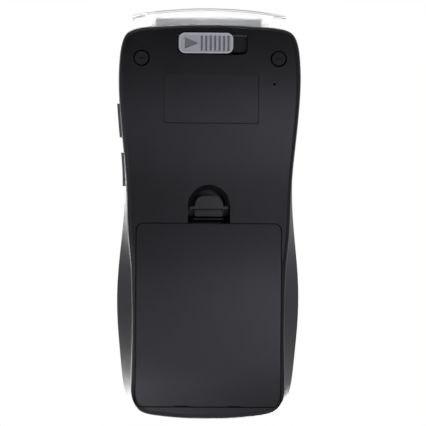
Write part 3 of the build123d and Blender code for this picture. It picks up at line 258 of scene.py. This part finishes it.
def clearPane():
    material, tree, shader = newTree("clearPane")
    point = objectPoint(tree)
    haze = noise(tree, point, paneLook["haze"], detail=4.0, rough=0.6)
    rough = mapRange(tree, haze, *paneLook["rough"])
    link(tree, rough, "Result", shader, "Roughness")
    tint = ramp(tree, haze, list(zip(edgeStops, (paneLook["dark"], paneLook["light"]))))
    link(tree, tint, "Color", shader, "Base Color")
    shader.inputs["Transmission Weight"].default_value = paneLook["clear"]
    shader.inputs["IOR"].default_value = paneLook["bend"]
    return material


lcdLook = {"column": 0.0042, "row": 0.0068, "columnGap": 0.28, "rowGap": 0.30, "ground": (0.40, 0.46, 0.36),
           "cell": (0.36, 0.415, 0.325), "haze": 400.0, "rough": (0.18, 0.26)}


def lcdGlass():
    # pale grey-green glass with rows of segments
    material, tree, shader = newTree("lcdGlass")
    point = objectPoint(tree)
    x = axisValue(tree, point, "X")
    y = axisValue(tree, point, "Y")
    column = mathNode(tree, "FRACT", mathNode(tree, "MULTIPLY", x, 1 / lcdLook["column"]))
    row = mathNode(tree, "FRACT", mathNode(tree, "MULTIPLY", y, 1 / lcdLook["row"]))
    inColumn = mathNode(tree, "GREATER_THAN", column, lcdLook["columnGap"])
    inRow = mathNode(tree, "GREATER_THAN", row, lcdLook["rowGap"])
    cell = mathNode(tree, "MULTIPLY", inColumn, inRow)
    shade = mixColor(tree, cell, lcdLook["ground"], lcdLook["cell"])
    tree.links.new(shade, shader.inputs["Base Color"])
    rough = mapRange(tree, noise(tree, point, lcdLook["haze"]), *lcdLook["rough"])
    link(tree, rough, "Result", shader, "Roughness")
    return material


paperLook = {"turn": 0.00055, "line": 0.72, "margin": 0.0001,
             "face": (0.80, 0.79, 0.76), "edge": (0.52, 0.48, 0.40),
             "fibre": 1800.0, "dim": (0.94, 0.94, 0.94), "lit": (1.0, 1.0, 1.0),
             "rough": (0.55, 0.72), "bump": 0.2}


def woundPaper(axisY, axisZ, radius):
    # label stock: fine rings on the roll's ends, faint fibre elsewhere
    material, tree, shader = newTree("woundPaper")
    point = objectPoint(tree)
    y = mathNode(tree, "SUBTRACT", axisValue(tree, point, "Y"), axisY)
    z = mathNode(tree, "SUBTRACT", axisValue(tree, point, "Z"), axisZ)
    squares = mathNode(tree, "ADD", mathNode(tree, "MULTIPLY", y, y), mathNode(tree, "MULTIPLY", z, z))
    away = mathNode(tree, "SQRT", squares)
    rings = mathNode(tree, "FRACT", mathNode(tree, "MULTIPLY", away, 1 / paperLook["turn"]))
    line = mathNode(tree, "GREATER_THAN", rings, paperLook["line"])
    inside = mathNode(tree, "LESS_THAN", away, radius - paperLook["margin"])
    mark = mathNode(tree, "MULTIPLY", line, inside)
    shade = mixColor(tree, mark, paperLook["face"], paperLook["edge"])
    fibre = noise(tree, point, paperLook["fibre"], detail=5.0, rough=0.7)
    fleck = ramp(tree, fibre, list(zip(edgeStops, (paperLook["dim"], paperLook["lit"]))))
    both = mixColor(tree, None, shade, fleck.outputs["Color"], "MULTIPLY", 1.0)
    tree.links.new(both, shader.inputs["Base Color"])
    rough = mapRange(tree, fibre, *paperLook["rough"])
    link(tree, rough, "Result", shader, "Roughness")
    bump = tree.nodes.new("ShaderNodeBump")
    bump.inputs["Strength"].default_value = paperLook["bump"]
    bump.inputs["Distance"].default_value = bumpDepths["fibre"]
    link(tree, fibre, "Fac", bump, "Height")
    link(tree, bump, "Normal", shader, "Normal")
    return material


boardLook = {"scale": 260.0, "gap": 0.035, "one": (0.006, 0.060, 0.022, 1.0),
             "two": (0.008, 0.075, 0.028, 1.0), "track": (0.030, 0.170, 0.060, 1.0), "haze": 500.0, "rough": (0.28, 0.42)}


def circuitGreen():
    material, tree, shader = newTree("circuitGreen")
    point = objectPoint(tree)
    tracks = tree.nodes.new("ShaderNodeTexBrick")
    tracks.inputs["Scale"].default_value = boardLook["scale"]
    tracks.inputs["Mortar Size"].default_value = boardLook["gap"]
    tracks.inputs["Color1"].default_value = boardLook["one"]
    tracks.inputs["Color2"].default_value = boardLook["two"]
    tracks.inputs["Mortar"].default_value = boardLook["track"]
    link(tree, point, "Object", tracks, "Vector")
    link(tree, tracks, "Color", shader, "Base Color")
    rough = mapRange(tree, noise(tree, point, boardLook["haze"]), *boardLook["rough"])
    link(tree, rough, "Result", shader, "Roughness")
    return material


sleeveLook = {"nub": 0.001, "bareTo": 0.0006, "band": 0.016, "sleeve": (0.030, 0.032, 0.038),
              "bandColor": (0.42, 0.22, 0.05), "steel": (0.62, 0.62, 0.63),
              "haze": 350.0, "rough": (0.22, 0.36)}


def cellSleeve(half):
    # printed sleeve with a coloured band and bare steel towards both ends of the row
    material, tree, shader = newTree("cellSleeve")
    point = objectPoint(tree)
    x = axisValue(tree, point, "X")
    away = mathNode(tree, "ABSOLUTE", x)
    bare = mathNode(tree, "GREATER_THAN", away, half - sleeveLook["nub"] - sleeveLook["bareTo"])
    band = mathNode(tree, "GREATER_THAN", away, half - sleeveLook["band"])
    sleeve = mixColor(tree, band, sleeveLook["sleeve"], sleeveLook["bandColor"])
    shade = mixColor(tree, bare, sleeve, sleeveLook["steel"])
    tree.links.new(shade, shader.inputs["Base Color"])
    tree.links.new(bare, shader.inputs["Metallic"])
    rough = mapRange(tree, noise(tree, point, sleeveLook["haze"]), *sleeveLook["rough"])
    link(tree, rough, "Result", shader, "Roughness")
    return material


sliderLook = {"grain": 3000.0, "wave": 40.0, "grainStrength": 0.25, "waveStrength": 0.02,
              "dark": (0.66, 0.665, 0.675), "light": (0.74, 0.745, 0.755),
              "roughLow": 0.40, "roughHigh": 0.52, "edge": 0.00025}
sideKeyLook = dict(sliderLook, dark=(0.24, 0.24, 0.25), light=(0.30, 0.30, 0.31), edge=0.0003)
keyCapLook = {"grain": 2600.0, "wave": 60.0, "grainStrength": 0.18, "waveStrength": 0.02,
              "dark": (0.300, 0.305, 0.315), "light": (0.350, 0.355, 0.365),
              "roughLow": 0.42, "roughHigh": 0.55, "edge": 0.0003}
rubberLook = {"grain": 2200.0, "wave": 80.0, "grainStrength": 0.5, "waveStrength": 0.05,
              "dark": (0.008, 0.008, 0.009), "light": (0.016, 0.016, 0.017),
              "roughLow": 0.62, "roughHigh": 0.82, "edge": 0.0003, "crevice": 0.003}
matLook = dict(rubberLook, dark=(0.10, 0.10, 0.11), light=(0.14, 0.14, 0.15))
bezelLook = dict(casingLook, grainStrength=0.04, dark=(0.006, 0.006, 0.007), light=(0.010, 0.010, 0.011),
                 roughLow=0.10, roughHigh=0.2)
innerLook = dict(casingLook, grainStrength=0.2, dark=(0.018, 0.018, 0.020), light=(0.030, 0.030, 0.033),
                 roughLow=0.45, roughHigh=0.6)
acetalLook = dict(sliderLook, dark=(0.60, 0.59, 0.55), light=(0.68, 0.67, 0.63))
cardLook = dict(rubberLook, dark=(0.24, 0.16, 0.09), light=(0.32, 0.23, 0.14))
cableLook = dict(sliderLook, dark=(0.60, 0.60, 0.58), light=(0.70, 0.70, 0.68))
lockBarLook = dict(innerLook, dark=(0.004, 0.004, 0.005), light=(0.006, 0.006, 0.007))
doorLook = dict(casingLook, cloud=38.0)

rollLow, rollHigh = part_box("label_roll")
rollMiddle = (rollLow + rollHigh) / 2
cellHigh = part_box("battery_cells")[1]
finishes = {
    "casing": plastic("casingPlastic", casingLook), "door": plastic("doorPlastic", doorLook),
    "milky_hood": milkyHood(), "slider": plastic("sliderPlastic", sliderLook),
    "foot_rubber": plastic("footRubber", rubberLook), "mat_rubber": plastic("matRubber", matLook),
    "side_key": plastic("sideKeyPlastic", sideKeyLook), "key_cap": plastic("keyCapPlastic", keyCapLook),
    "clear_pane": clearPane(), "bezel": plastic("bezelGloss", bezelLook), "lcd_glass": lcdGlass(),
    "steel": metal("platedSteel", (0.62, 0.63, 0.65), 0.28),
    "dark_steel": metal("blackSteel", (0.10, 0.10, 0.11), 0.35),
    "aluminium": metal("milledAluminium", (0.70, 0.71, 0.73), 0.34, 700.0, (0.1, 1.0, 1.0)),
    "brass": metal("turnedBrass", (0.72, 0.55, 0.25), 0.26), "gear_white": plastic("gearAcetal", acetalLook),
    "inner_plastic": plastic("innerPlastic", innerLook), "switch_black": plastic("switchPlastic", bezelLook),
    "board_green": circuitGreen(), "cell_wrap": cellSleeve(cellHigh.x),
    "cable_white": plastic("flatCable", cableLook),
    "label_paper": woundPaper(rollMiddle.y, rollMiddle.z, (rollHigh.z - rollLow.z) / 2),
    "core_card": plastic("coreCard", cardLook),
}
slotOf = {row["node"]: row["material_slot"] for row in frame["record"]["subparts"]}
for name, piece in nodes.items():
    piece.data.materials.clear()
    piece.data.materials.append(finishes[slotOf[name]])
print("finishes made:", len(finishes))


# latch: the same plastic with painted shade, darker where it bends away inside

def assignFinish(name, material):
    nodes[name].data.materials.clear()
    nodes[name].data.materials.append(material)


# the deep colour is the painted shade of the latch's inner part
latchLook = dict(casingLook, fadeFrom=0.0046, fadeTo=0.0062, deep=(0.0012, 0.0012, 0.0014))


def latchPlastic():
    material = plastic("latchPlastic", latchLook)
    tree = material.node_tree
    shader = tree.nodes["Principled BSDF"]
    tint = shader.inputs["Base Color"].links[0].from_socket
    # painted shade: the colour fades to near black with height, where the latch bends away into shadow
    latchShade = tree.nodes.new("ShaderNodeMapRange")
    latchShade.inputs["From Min"].default_value = latchLook["fadeFrom"]
    latchShade.inputs["From Max"].default_value = latchLook["fadeTo"]
    tree.links.new(axisValue(tree, objectPoint(tree), "Z"), latchShade.inputs["Value"])
    shade = mixColor(tree, latchShade.outputs["Result"], tint, latchLook["deep"])
    tree.links.new(shade, shader.inputs["Base Color"])
    return material


sliderHighlightShade = {"rim": (0.86, 0.865, 0.88), "groove": (0.30, 0.304, 0.315),
               "rimTo": 0.0001, "grooveFrom": 0.00036}


def sliderPlastic():
    # the rim gets a painted highlight and the cut marks get painted shade, told apart by height above the
    # outermost face
    material = plastic("sliderPaintedLight", sliderLook)
    tree = material.node_tree
    shader = tree.nodes["Principled BSDF"]
    tint = shader.inputs["Base Color"].links[0].from_socket
    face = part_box("lock_slider")[0].z
    depth = mathNode(tree, "SUBTRACT", axisValue(tree, objectPoint(tree), "Z"), face)
    onRim = mathNode(tree, "LESS_THAN", depth, sliderHighlightShade["rimTo"])
    inGroove = mathNode(tree, "GREATER_THAN", depth, sliderHighlightShade["grooveFrom"])
    # painted highlight: the rim is made bright in the colour
    shade = mixColor(tree, onRim, tint, sliderHighlightShade["rim"])
    # painted shade: the groove floors are made dark in the colour
    shade = mixColor(tree, inGroove, shade, sliderHighlightShade["groove"])
    tree.links.new(shade, shader.inputs["Base Color"])
    return material


assignFinish("lock_slider", sliderPlastic())
assignFinish("battery_door_latch", latchPlastic())
assignFinish("lock_bar", plastic("lockBarPlastic", lockBarLook))


# geometry nodes: one small shape set out on a row of points

def socketId(tree, name):
    return next(item.identifier for item in tree.interface.items_tree
                if item.item_type == "SOCKET" and item.in_out == "INPUT" and item.name == name)


barShape = {"long": 4, "across": 4, "thick": 3, "softFrom": 0.3, "softTo": 0.75, "drawnIn": 0.86}


def rowTree(name, material):
    # each point carries its own turn; the three inputs give the size of the softened bar set on it
    tree = bpy.data.node_groups.new(name, "GeometryNodeTree")
    face = tree.interface
    face.new_socket("Geometry", in_out="INPUT", socket_type="NodeSocketGeometry")
    for label in ("Length", "Width", "Height"):
        face.new_socket(label, in_out="INPUT", socket_type="NodeSocketFloat")
    face.new_socket("Geometry", in_out="OUTPUT", socket_type="NodeSocketGeometry")
    start = tree.nodes.new("NodeGroupInput")
    end = tree.nodes.new("NodeGroupOutput")
    size = tree.nodes.new("ShaderNodeCombineXYZ")
    tree.links.new(start.outputs["Length"], size.inputs["X"])
    tree.links.new(start.outputs["Width"], size.inputs["Y"])
    tree.links.new(start.outputs["Height"], size.inputs["Z"])
    bar = tree.nodes.new("GeometryNodeMeshCube")
    bar.inputs["Vertices X"].default_value = barShape["long"]
    bar.inputs["Vertices Y"].default_value = barShape["across"]
    bar.inputs["Vertices Z"].default_value = barShape["thick"]
    tree.links.new(size.outputs[0], bar.inputs["Size"])
    # the corners of each bar are drawn in, so its ends and edges are rounded
    place = tree.nodes.new("GeometryNodeInputPosition")
    ratio = tree.nodes.new("ShaderNodeVectorMath")
    ratio.operation = "DIVIDE"
    tree.links.new(place.outputs[0], ratio.inputs[0])
    tree.links.new(size.outputs[0], ratio.inputs[1])
    squared = tree.nodes.new("ShaderNodeVectorMath")
    squared.operation = "DOT_PRODUCT"
    tree.links.new(ratio.outputs["Vector"], squared.inputs[0])
    tree.links.new(ratio.outputs["Vector"], squared.inputs[1])
    draw = tree.nodes.new("ShaderNodeMapRange")
    draw.inputs["From Min"].default_value = barShape["softFrom"]
    draw.inputs["From Max"].default_value = barShape["softTo"]
    draw.inputs["To Min"].default_value = 1.0
    draw.inputs["To Max"].default_value = barShape["drawnIn"]
    tree.links.new(squared.outputs["Value"], draw.inputs["Value"])
    pulled = tree.nodes.new("ShaderNodeVectorMath")
    pulled.operation = "SCALE"
    tree.links.new(place.outputs[0], pulled.inputs[0])
    tree.links.new(draw.outputs["Result"], pulled.inputs["Scale"])
    shape = tree.nodes.new("GeometryNodeSetPosition")
    tree.links.new(bar.outputs["Mesh"], shape.inputs["Geometry"])
    tree.links.new(pulled.outputs["Vector"], shape.inputs["Position"])
    turn = tree.nodes.new("GeometryNodeInputNamedAttribute")
    turn.data_type = "FLOAT_VECTOR"
    turn.inputs["Name"].default_value = "turn"
    spread = tree.nodes.new("GeometryNodeInstanceOnPoints")
    tree.links.new(start.outputs["Geometry"], spread.inputs["Points"])
    tree.links.new(shape.outputs["Geometry"], spread.inputs["Instance"])
    tree.links.new(turn.outputs["Attribute"], spread.inputs["Rotation"])
    real = tree.nodes.new("GeometryNodeRealizeInstances")
    tree.links.new(spread.outputs[0], real.inputs[0])
    finish = tree.nodes.new("GeometryNodeSetMaterial")
    finish.inputs["Material"].default_value = material
    tree.links.new(real.outputs[0], finish.inputs["Geometry"])
    tree.links.new(finish.outputs[0], end.inputs[0])
    return tree


def setOut(name, points, turns, tree, sizes, body):
    seed = bpy.data.meshes.new(name + "Points")
    seed.from_pydata(points, [], [])
    attribute = seed.attributes.new("turn", "FLOAT_VECTOR", "POINT")
    for row, value in zip(attribute.data, turns):
        row.vector = value
    holder = bpy.data.objects.new(name + "Points", seed)
    scene.collection.objects.link(holder)
    modifier = holder.modifiers.new("bars", "NODES")
    modifier.node_group = tree
    for label, value in sizes.items():
        modifier[socketId(tree, label)] = value
    bpy.context.view_layer.update()
    graph = bpy.context.evaluated_depsgraph_get()
    mesh = bpy.data.meshes.new_from_object(holder.evaluated_get(graph))
    holder.modifiers.clear()
    bpy.data.objects.remove(holder)
    piece = bpy.data.objects.new(name, mesh)
    mesh.name = name
    scene.collection.objects.link(piece)
    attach(piece, body)
    return piece


# grip ribs at the free end of the media cover

gripRibs = {"count": 9, "pitch": 0.0028, "length": 0.0085, "width": 0.0012, "height": 0.0009,
            "fromEnd": 0.0078, "reach": 0.002, "raised": 0.12}
rayStart = 0.2    # above the whole object


def topHeight(name, x, y):
    # height of the outer surface of a node above one place
    found = nodes[name].ray_cast(Vector((x, y, rayStart)), Vector((0, 0, -1)))
    return found[1].z if found[0] else None


def makeGripRibs():
    # the bar's length runs along the cover, tilted to the slope of its face
    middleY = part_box("media_cover")[1].y - gripRibs["fromEnd"]
    points = []
    turns = []
    for i in range(gripRibs["count"]):
        x = (i - (gripRibs["count"] - 1) / 2) * gripRibs["pitch"]
        ahead = topHeight("media_cover", x, middleY + gripRibs["reach"])
        behind = topHeight("media_cover", x, middleY - gripRibs["reach"])
        points.append((x, middleY, (ahead + behind) / 2 + gripRibs["height"] * gripRibs["raised"]))
        turns.append((0.0, -math.atan2(ahead - behind, 2 * gripRibs["reach"]), math.pi / 2))
    tree = rowTree("gripRibTree", finishes["casing"])
    sizes = {"Length": gripRibs["length"], "Width": gripRibs["width"], "Height": gripRibs["height"]}
    setOut("mediaCoverGripRibs", points, turns, tree, sizes, "media_cover")


makeGripRibs()


# display digits behind the window: seven bars to a figure

displayText = {"figures": "12-0480", "tall": 0.0058, "wide": 0.0032, "pitch": 0.0053, "bar": 0.00062,
               "thick": 0.00006, "lift": 0.00003, "gap": 0.0003, "slope": 13.4}
displayInkLook = dict(bezelLook, dark=(0.02, 0.025, 0.02), light=(0.03, 0.035, 0.03))
figureBars = {"0": "abcdef", "1": "bc", "2": "abdeg", "4": "bcfg", "8": "abcdefg", "-": "g"}


def makeDisplayDigits():
    # the bars lie on the display module's face, under the window
    glassLow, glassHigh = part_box("lcd_module")
    middleY = (glassLow.y + glassHigh.y) / 2
    faceZ = topHeight("lcd_module", 0.0, middleY)
    rise = math.radians(displayText["slope"])
    half = displayText["tall"] / 4
    wide = displayText["wide"] / 2
    bars = {"a": (0, 2 * half, 0), "g": (0, 0, 0), "d": (0, -2 * half, 0), "f": (-wide, half, 1),
            "b": (wide, half, 1), "e": (-wide, -half, 1), "c": (wide, -half, 1)}
    points = []
    turns = []
    count = len(displayText["figures"])
    for i, figure in enumerate(displayText["figures"]):
        start = (i - (count - 1) / 2) * displayText["pitch"]
        for letter in figureBars[figure]:
            x, y, upright = bars[letter]
            height = faceZ + y * math.sin(rise) + displayText["lift"]
            points.append((start + x, middleY + y * math.cos(rise), height))
            turns.append((rise, 0.0, 0.0) if not upright else (0.0, -rise, math.pi / 2))
    tree = rowTree("displayBarTree", plastic("displayInk", displayInkLook))
    sizes = {"Length": displayText["tall"] / 2 - displayText["gap"], "Width": displayText["bar"],
             "Height": displayText["thick"]}
    setOut("displayDigits", points, turns, tree, sizes, "casing")


makeDisplayDigits()


# dark strip beside the sliding bar, standing in for shade in the slot

slotShadeStrip = {"center": (-0.001, 0.08305, 0.0043),
             "size": {"Length": 0.038, "Width": 0.0030, "Height": 0.0006}}


def makeSlotShadeStrip():
    # a dark strip fills the slot beside the sliding bar as painted shade and hides the outlet behind it
    tree = rowTree("slotShadeStripRow", finishes["foot_rubber"])
    setOut("outletShadeStrip", [slotShadeStrip["center"]], [(0.0, 0.0, 0.0)], tree, slotShadeStrip["size"],
           "casing")


makeSlotShadeStrip()
print("display and grip made")


# legends printed on the keys

legendLook = {"size": 0.0058, "outline": 0.75, "thick": 0.00005, "lift": 0.00002, "dish": 0.060}
# bottom row first, as the keys are numbered
legendMarks = ["back", "0", "enter", "1", "2", "3", "4", "5", "6", "7", "8", "9", "left", "feed", "right"]
legendShapes = {
    "left": [[(-0.5, 0.0), (0.35, 0.5), (0.35, -0.5)]],
    "right": [[(0.5, 0.0), (-0.35, -0.5), (-0.35, 0.5)]],
    "back": [[(-0.6, 0.0), (-0.1, 0.45), (-0.1, 0.12), (0.6, 0.12), (0.6, -0.12), (-0.1, -0.12),
              (-0.1, -0.45)]],
    "enter": [[(-0.6, -0.15), (-0.15, 0.25), (-0.15, -0.03), (0.36, -0.03), (0.36, 0.5), (0.6, 0.5),
               (0.6, -0.27), (-0.15, -0.27), (-0.15, -0.55)]],
    "feed": [[(-0.5, -0.5), (0.5, -0.5), (0.5, -0.28), (-0.5, -0.28)],
             [(0.0, 0.55), (-0.42, 0.0), (0.42, 0.0)]],
}
inkLook = dict(bezelLook, dark=(0.010, 0.010, 0.012), light=(0.016, 0.016, 0.018),
               roughLow=0.35, roughHigh=0.5)
legendInk = plastic("legendInk", inkLook)


def legendMesh(mark):
    if mark in legendShapes:
        curve = bpy.data.curves.new("legendCurve", "CURVE")
        curve.dimensions = "2D"
        curve.fill_mode = "BOTH"
        reach = legendLook["size"] * legendLook["outline"]
        for outline in legendShapes[mark]:
            line = curve.splines.new("POLY")
            line.points.add(len(outline) - 1)
            for point, (x, y) in zip(line.points, outline):
                point.co = (x * reach, y * reach, 0.0, 1.0)
            line.use_cyclic_u = True
    else:
        curve = bpy.data.curves.new("legendText", "FONT")
        curve.body = mark
        curve.size = legendLook["size"]
        curve.align_x = "CENTER"
        curve.align_y = "CENTER"
    curve.extrude = legendLook["thick"] / 2
    holder = bpy.data.objects.new("legendHolder", curve)
    scene.collection.objects.link(holder)
    bpy.context.view_layer.update()
    graph = bpy.context.evaluated_depsgraph_get()
    mesh = bpy.data.meshes.new_from_object(holder.evaluated_get(graph))
    bpy.data.objects.remove(holder)
    return mesh


def makeLegends():
    for number, mark in enumerate(legendMarks, 1):
        key = f"front_key_{number:02d}"
        low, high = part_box(key)
        middle = (low + high) / 2
        face = topHeight(key, middle.x, middle.y)
        mesh = legendMesh(mark)
        spanLow = Vector([min(v.co[i] for v in mesh.vertices) for i in range(3)])
        spanHigh = Vector([max(v.co[i] for v in mesh.vertices) for i in range(3)])
        center = (spanLow + spanHigh) / 2
        for vertex in mesh.vertices:
            x = vertex.co.x - center.x
            y = vertex.co.y - center.y
            rise = x * x / (2 * legendLook["dish"])    # follows the key's dished top
            height = face + rise + legendLook["lift"] + vertex.co.z - center.z
            vertex.co = (middle.x + x, middle.y + y, height)
        mesh.materials.clear()
        mesh.materials.append(legendInk)
        mesh.name = f"keyLegend{number:02d}"
        piece = bpy.data.objects.new(mesh.name, mesh)
        scene.collection.objects.link(piece)
        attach(piece, key)


makeLegends()
print("key legends made:", len(legendMarks))


# stage, camera and lights

stageSettings = {"floorHalf": 2.5, "floorColor": (0.86, 0.86, 0.86), "floorRough": 0.9,
                 "skyHigh": 0.60, "skyLow": 0.03, "skyColor": (0.95, 0.97, 1.0, 1.0),
                 "skyFrom": -0.15, "skyTo": 0.25}
cameraSettings = {"away": 1.2, "frameWide": 0.196, "frameNearer": 0.004, "yaw": 1.7, "roll": 0.4,
                  "look": (-0.0021, 0.0002, 0.012), "sensor": 36.0, "clip": 0.01}
backTint = (0.90, 0.89, 1.0)
# the lamps below light the back, which faces down; the lamps above light the keypad side
lamps = [
    ("belowHeel", (0.12, -0.22, -0.40), (0.04, -0.06, 0.0), (0.12, 0.14), 0.50, backTint),
    ("belowRight", (-0.17, -0.07, -0.30), (-0.05, -0.02, 0.0), (0.08, 0.34), 0.42, backTint),
    ("belowLeft", (0.62, -0.10, -0.30), (0.03, -0.03, 0.01), (0.12, 0.5), 0.55, (0.92, 0.92, 1.0)),
    ("topKey", (-0.34, -0.5, 1.0), (0, 0, 0.02), (0.5, 0.8), 10.5, (1.0, 1.0, 1.0)),
    ("topFill", (0.42, -0.25, 1.0), (0, 0, 0.02), (0.5, 0.7), 6.5, (1.0, 1.0, 1.0)),
    ("topRear", (0.2, 1.0, 0.8), (0, 0, 0.02), (0.8, 0.5), 9.0, (1.0, 1.0, 1.0)),
]


def makeFloor():
    # seen from above only, and left out of every bounced ray
    mesh = bpy.data.meshes.new("floor")
    half = stageSettings["floorHalf"]
    corners = [(-half, -half, 0), (half, -half, 0), (half, half, 0), (-half, half, 0)]
    mesh.from_pydata(corners, [], [(0, 1, 2, 3)])
    floor = bpy.data.objects.new("floor", mesh)
    scene.collection.objects.link(floor)
    material, tree, shader = newTree("floorPaper")
    shader.inputs["Base Color"].default_value = (*stageSettings["floorColor"], 1.0)
    shader.inputs["Roughness"].default_value = stageSettings["floorRough"]
    clear = tree.nodes.new("ShaderNodeBsdfTransparent")
    side = tree.nodes.new("ShaderNodeNewGeometry")
    mix = tree.nodes.new("ShaderNodeMixShader")
    link(tree, side, "Backfacing", mix, 0)
    link(tree, shader, "BSDF", mix, 1)
    link(tree, clear, "BSDF", mix, 2)
    link(tree, mix, "Shader", tree.nodes["Material Output"], "Surface")
    mesh.materials.append(material)
    floor.visible_shadow = False
    floor.visible_diffuse = False
    floor.visible_glossy = False
    floor.visible_transmission = False


def makeWorld():
    # white to the camera and through clear plastic, a soft gradient for everything else
    world = bpy.data.worlds.new("studio")
    scene.world = world
    world.use_nodes = True
    tree = world.node_tree
    tree.nodes.clear()
    seen = tree.nodes.new("ShaderNodeBackground")
    seen.inputs["Color"].default_value = (1.0, 1.0, 1.0, 1.0)
    seen.inputs["Strength"].default_value = 1.0
    lit = tree.nodes.new("ShaderNodeBackground")
    lit.inputs["Color"].default_value = stageSettings["skyColor"]
    way = tree.nodes.new("ShaderNodeTexCoord")
    split = tree.nodes.new("ShaderNodeSeparateXYZ")
    tree.links.new(way.outputs["Generated"], split.inputs[0])
    level = tree.nodes.new("ShaderNodeMapRange")
    level.inputs["From Min"].default_value = stageSettings["skyFrom"]
    level.inputs["From Max"].default_value = stageSettings["skyTo"]
    level.inputs["To Min"].default_value = stageSettings["skyLow"]
    level.inputs["To Max"].default_value = stageSettings["skyHigh"]
    tree.links.new(split.outputs["Z"], level.inputs["Value"])
    tree.links.new(level.outputs["Result"], lit.inputs["Strength"])
    path = tree.nodes.new("ShaderNodeLightPath")
    through = tree.nodes.new("ShaderNodeMath")
    through.operation = "MAXIMUM"
    tree.links.new(path.outputs["Is Camera Ray"], through.inputs[0])
    tree.links.new(path.outputs["Is Transmission Ray"], through.inputs[1])
    mix = tree.nodes.new("ShaderNodeMixShader")
    out = tree.nodes.new("ShaderNodeOutputWorld")
    tree.links.new(through.outputs[0], mix.inputs[0])
    tree.links.new(lit.outputs[0], mix.inputs[1])
    tree.links.new(seen.outputs[0], mix.inputs[2])
    tree.links.new(mix.outputs[0], out.inputs["Surface"])


def softLight(name, place, aim, size, watts, color):
    data = bpy.data.lights.new(name, "AREA")
    data.shape = "RECTANGLE"
    data.size = size[0]
    data.size_y = size[1]
    data.energy = watts
    data.color = color
    lamp = bpy.data.objects.new(name, data)
    lamp.location = place
    lamp.rotation_euler = (Vector(aim) - Vector(place)).to_track_quat("-Z", "Y").to_euler()
    scene.collection.objects.link(lamp)


def makeCamera():
    data = bpy.data.cameras.new("camera")
    camera = bpy.data.objects.new("camera", data)
    scene.collection.objects.link(camera)
    yaw = math.radians(cameraSettings["yaw"])
    look = Vector(cameraSettings["look"])
    camera.location = look + cameraSettings["away"] * Vector((math.sin(yaw), 0.0, -math.cos(yaw)))
    camera.rotation_euler = (0.0, math.pi - yaw, 0.0)
    camera.rotation_euler.rotate_axis("Z", math.radians(cameraSettings["roll"]))
    data.sensor_width = cameraSettings["sensor"]
    # the frame's width holds on a plane a little nearer than the point looked at
    nearer = cameraSettings["away"] - cameraSettings["frameNearer"]
    data.lens = data.sensor_width * nearer / cameraSettings["frameWide"]
    data.clip_start = cameraSettings["clip"]
    scene.camera = camera


makeFloor()
makeWorld()
makeCamera()
for lamp in lamps:
    softLight(*lamp)
scene.view_settings.view_transform = "Standard"
print("stage ready")

import json
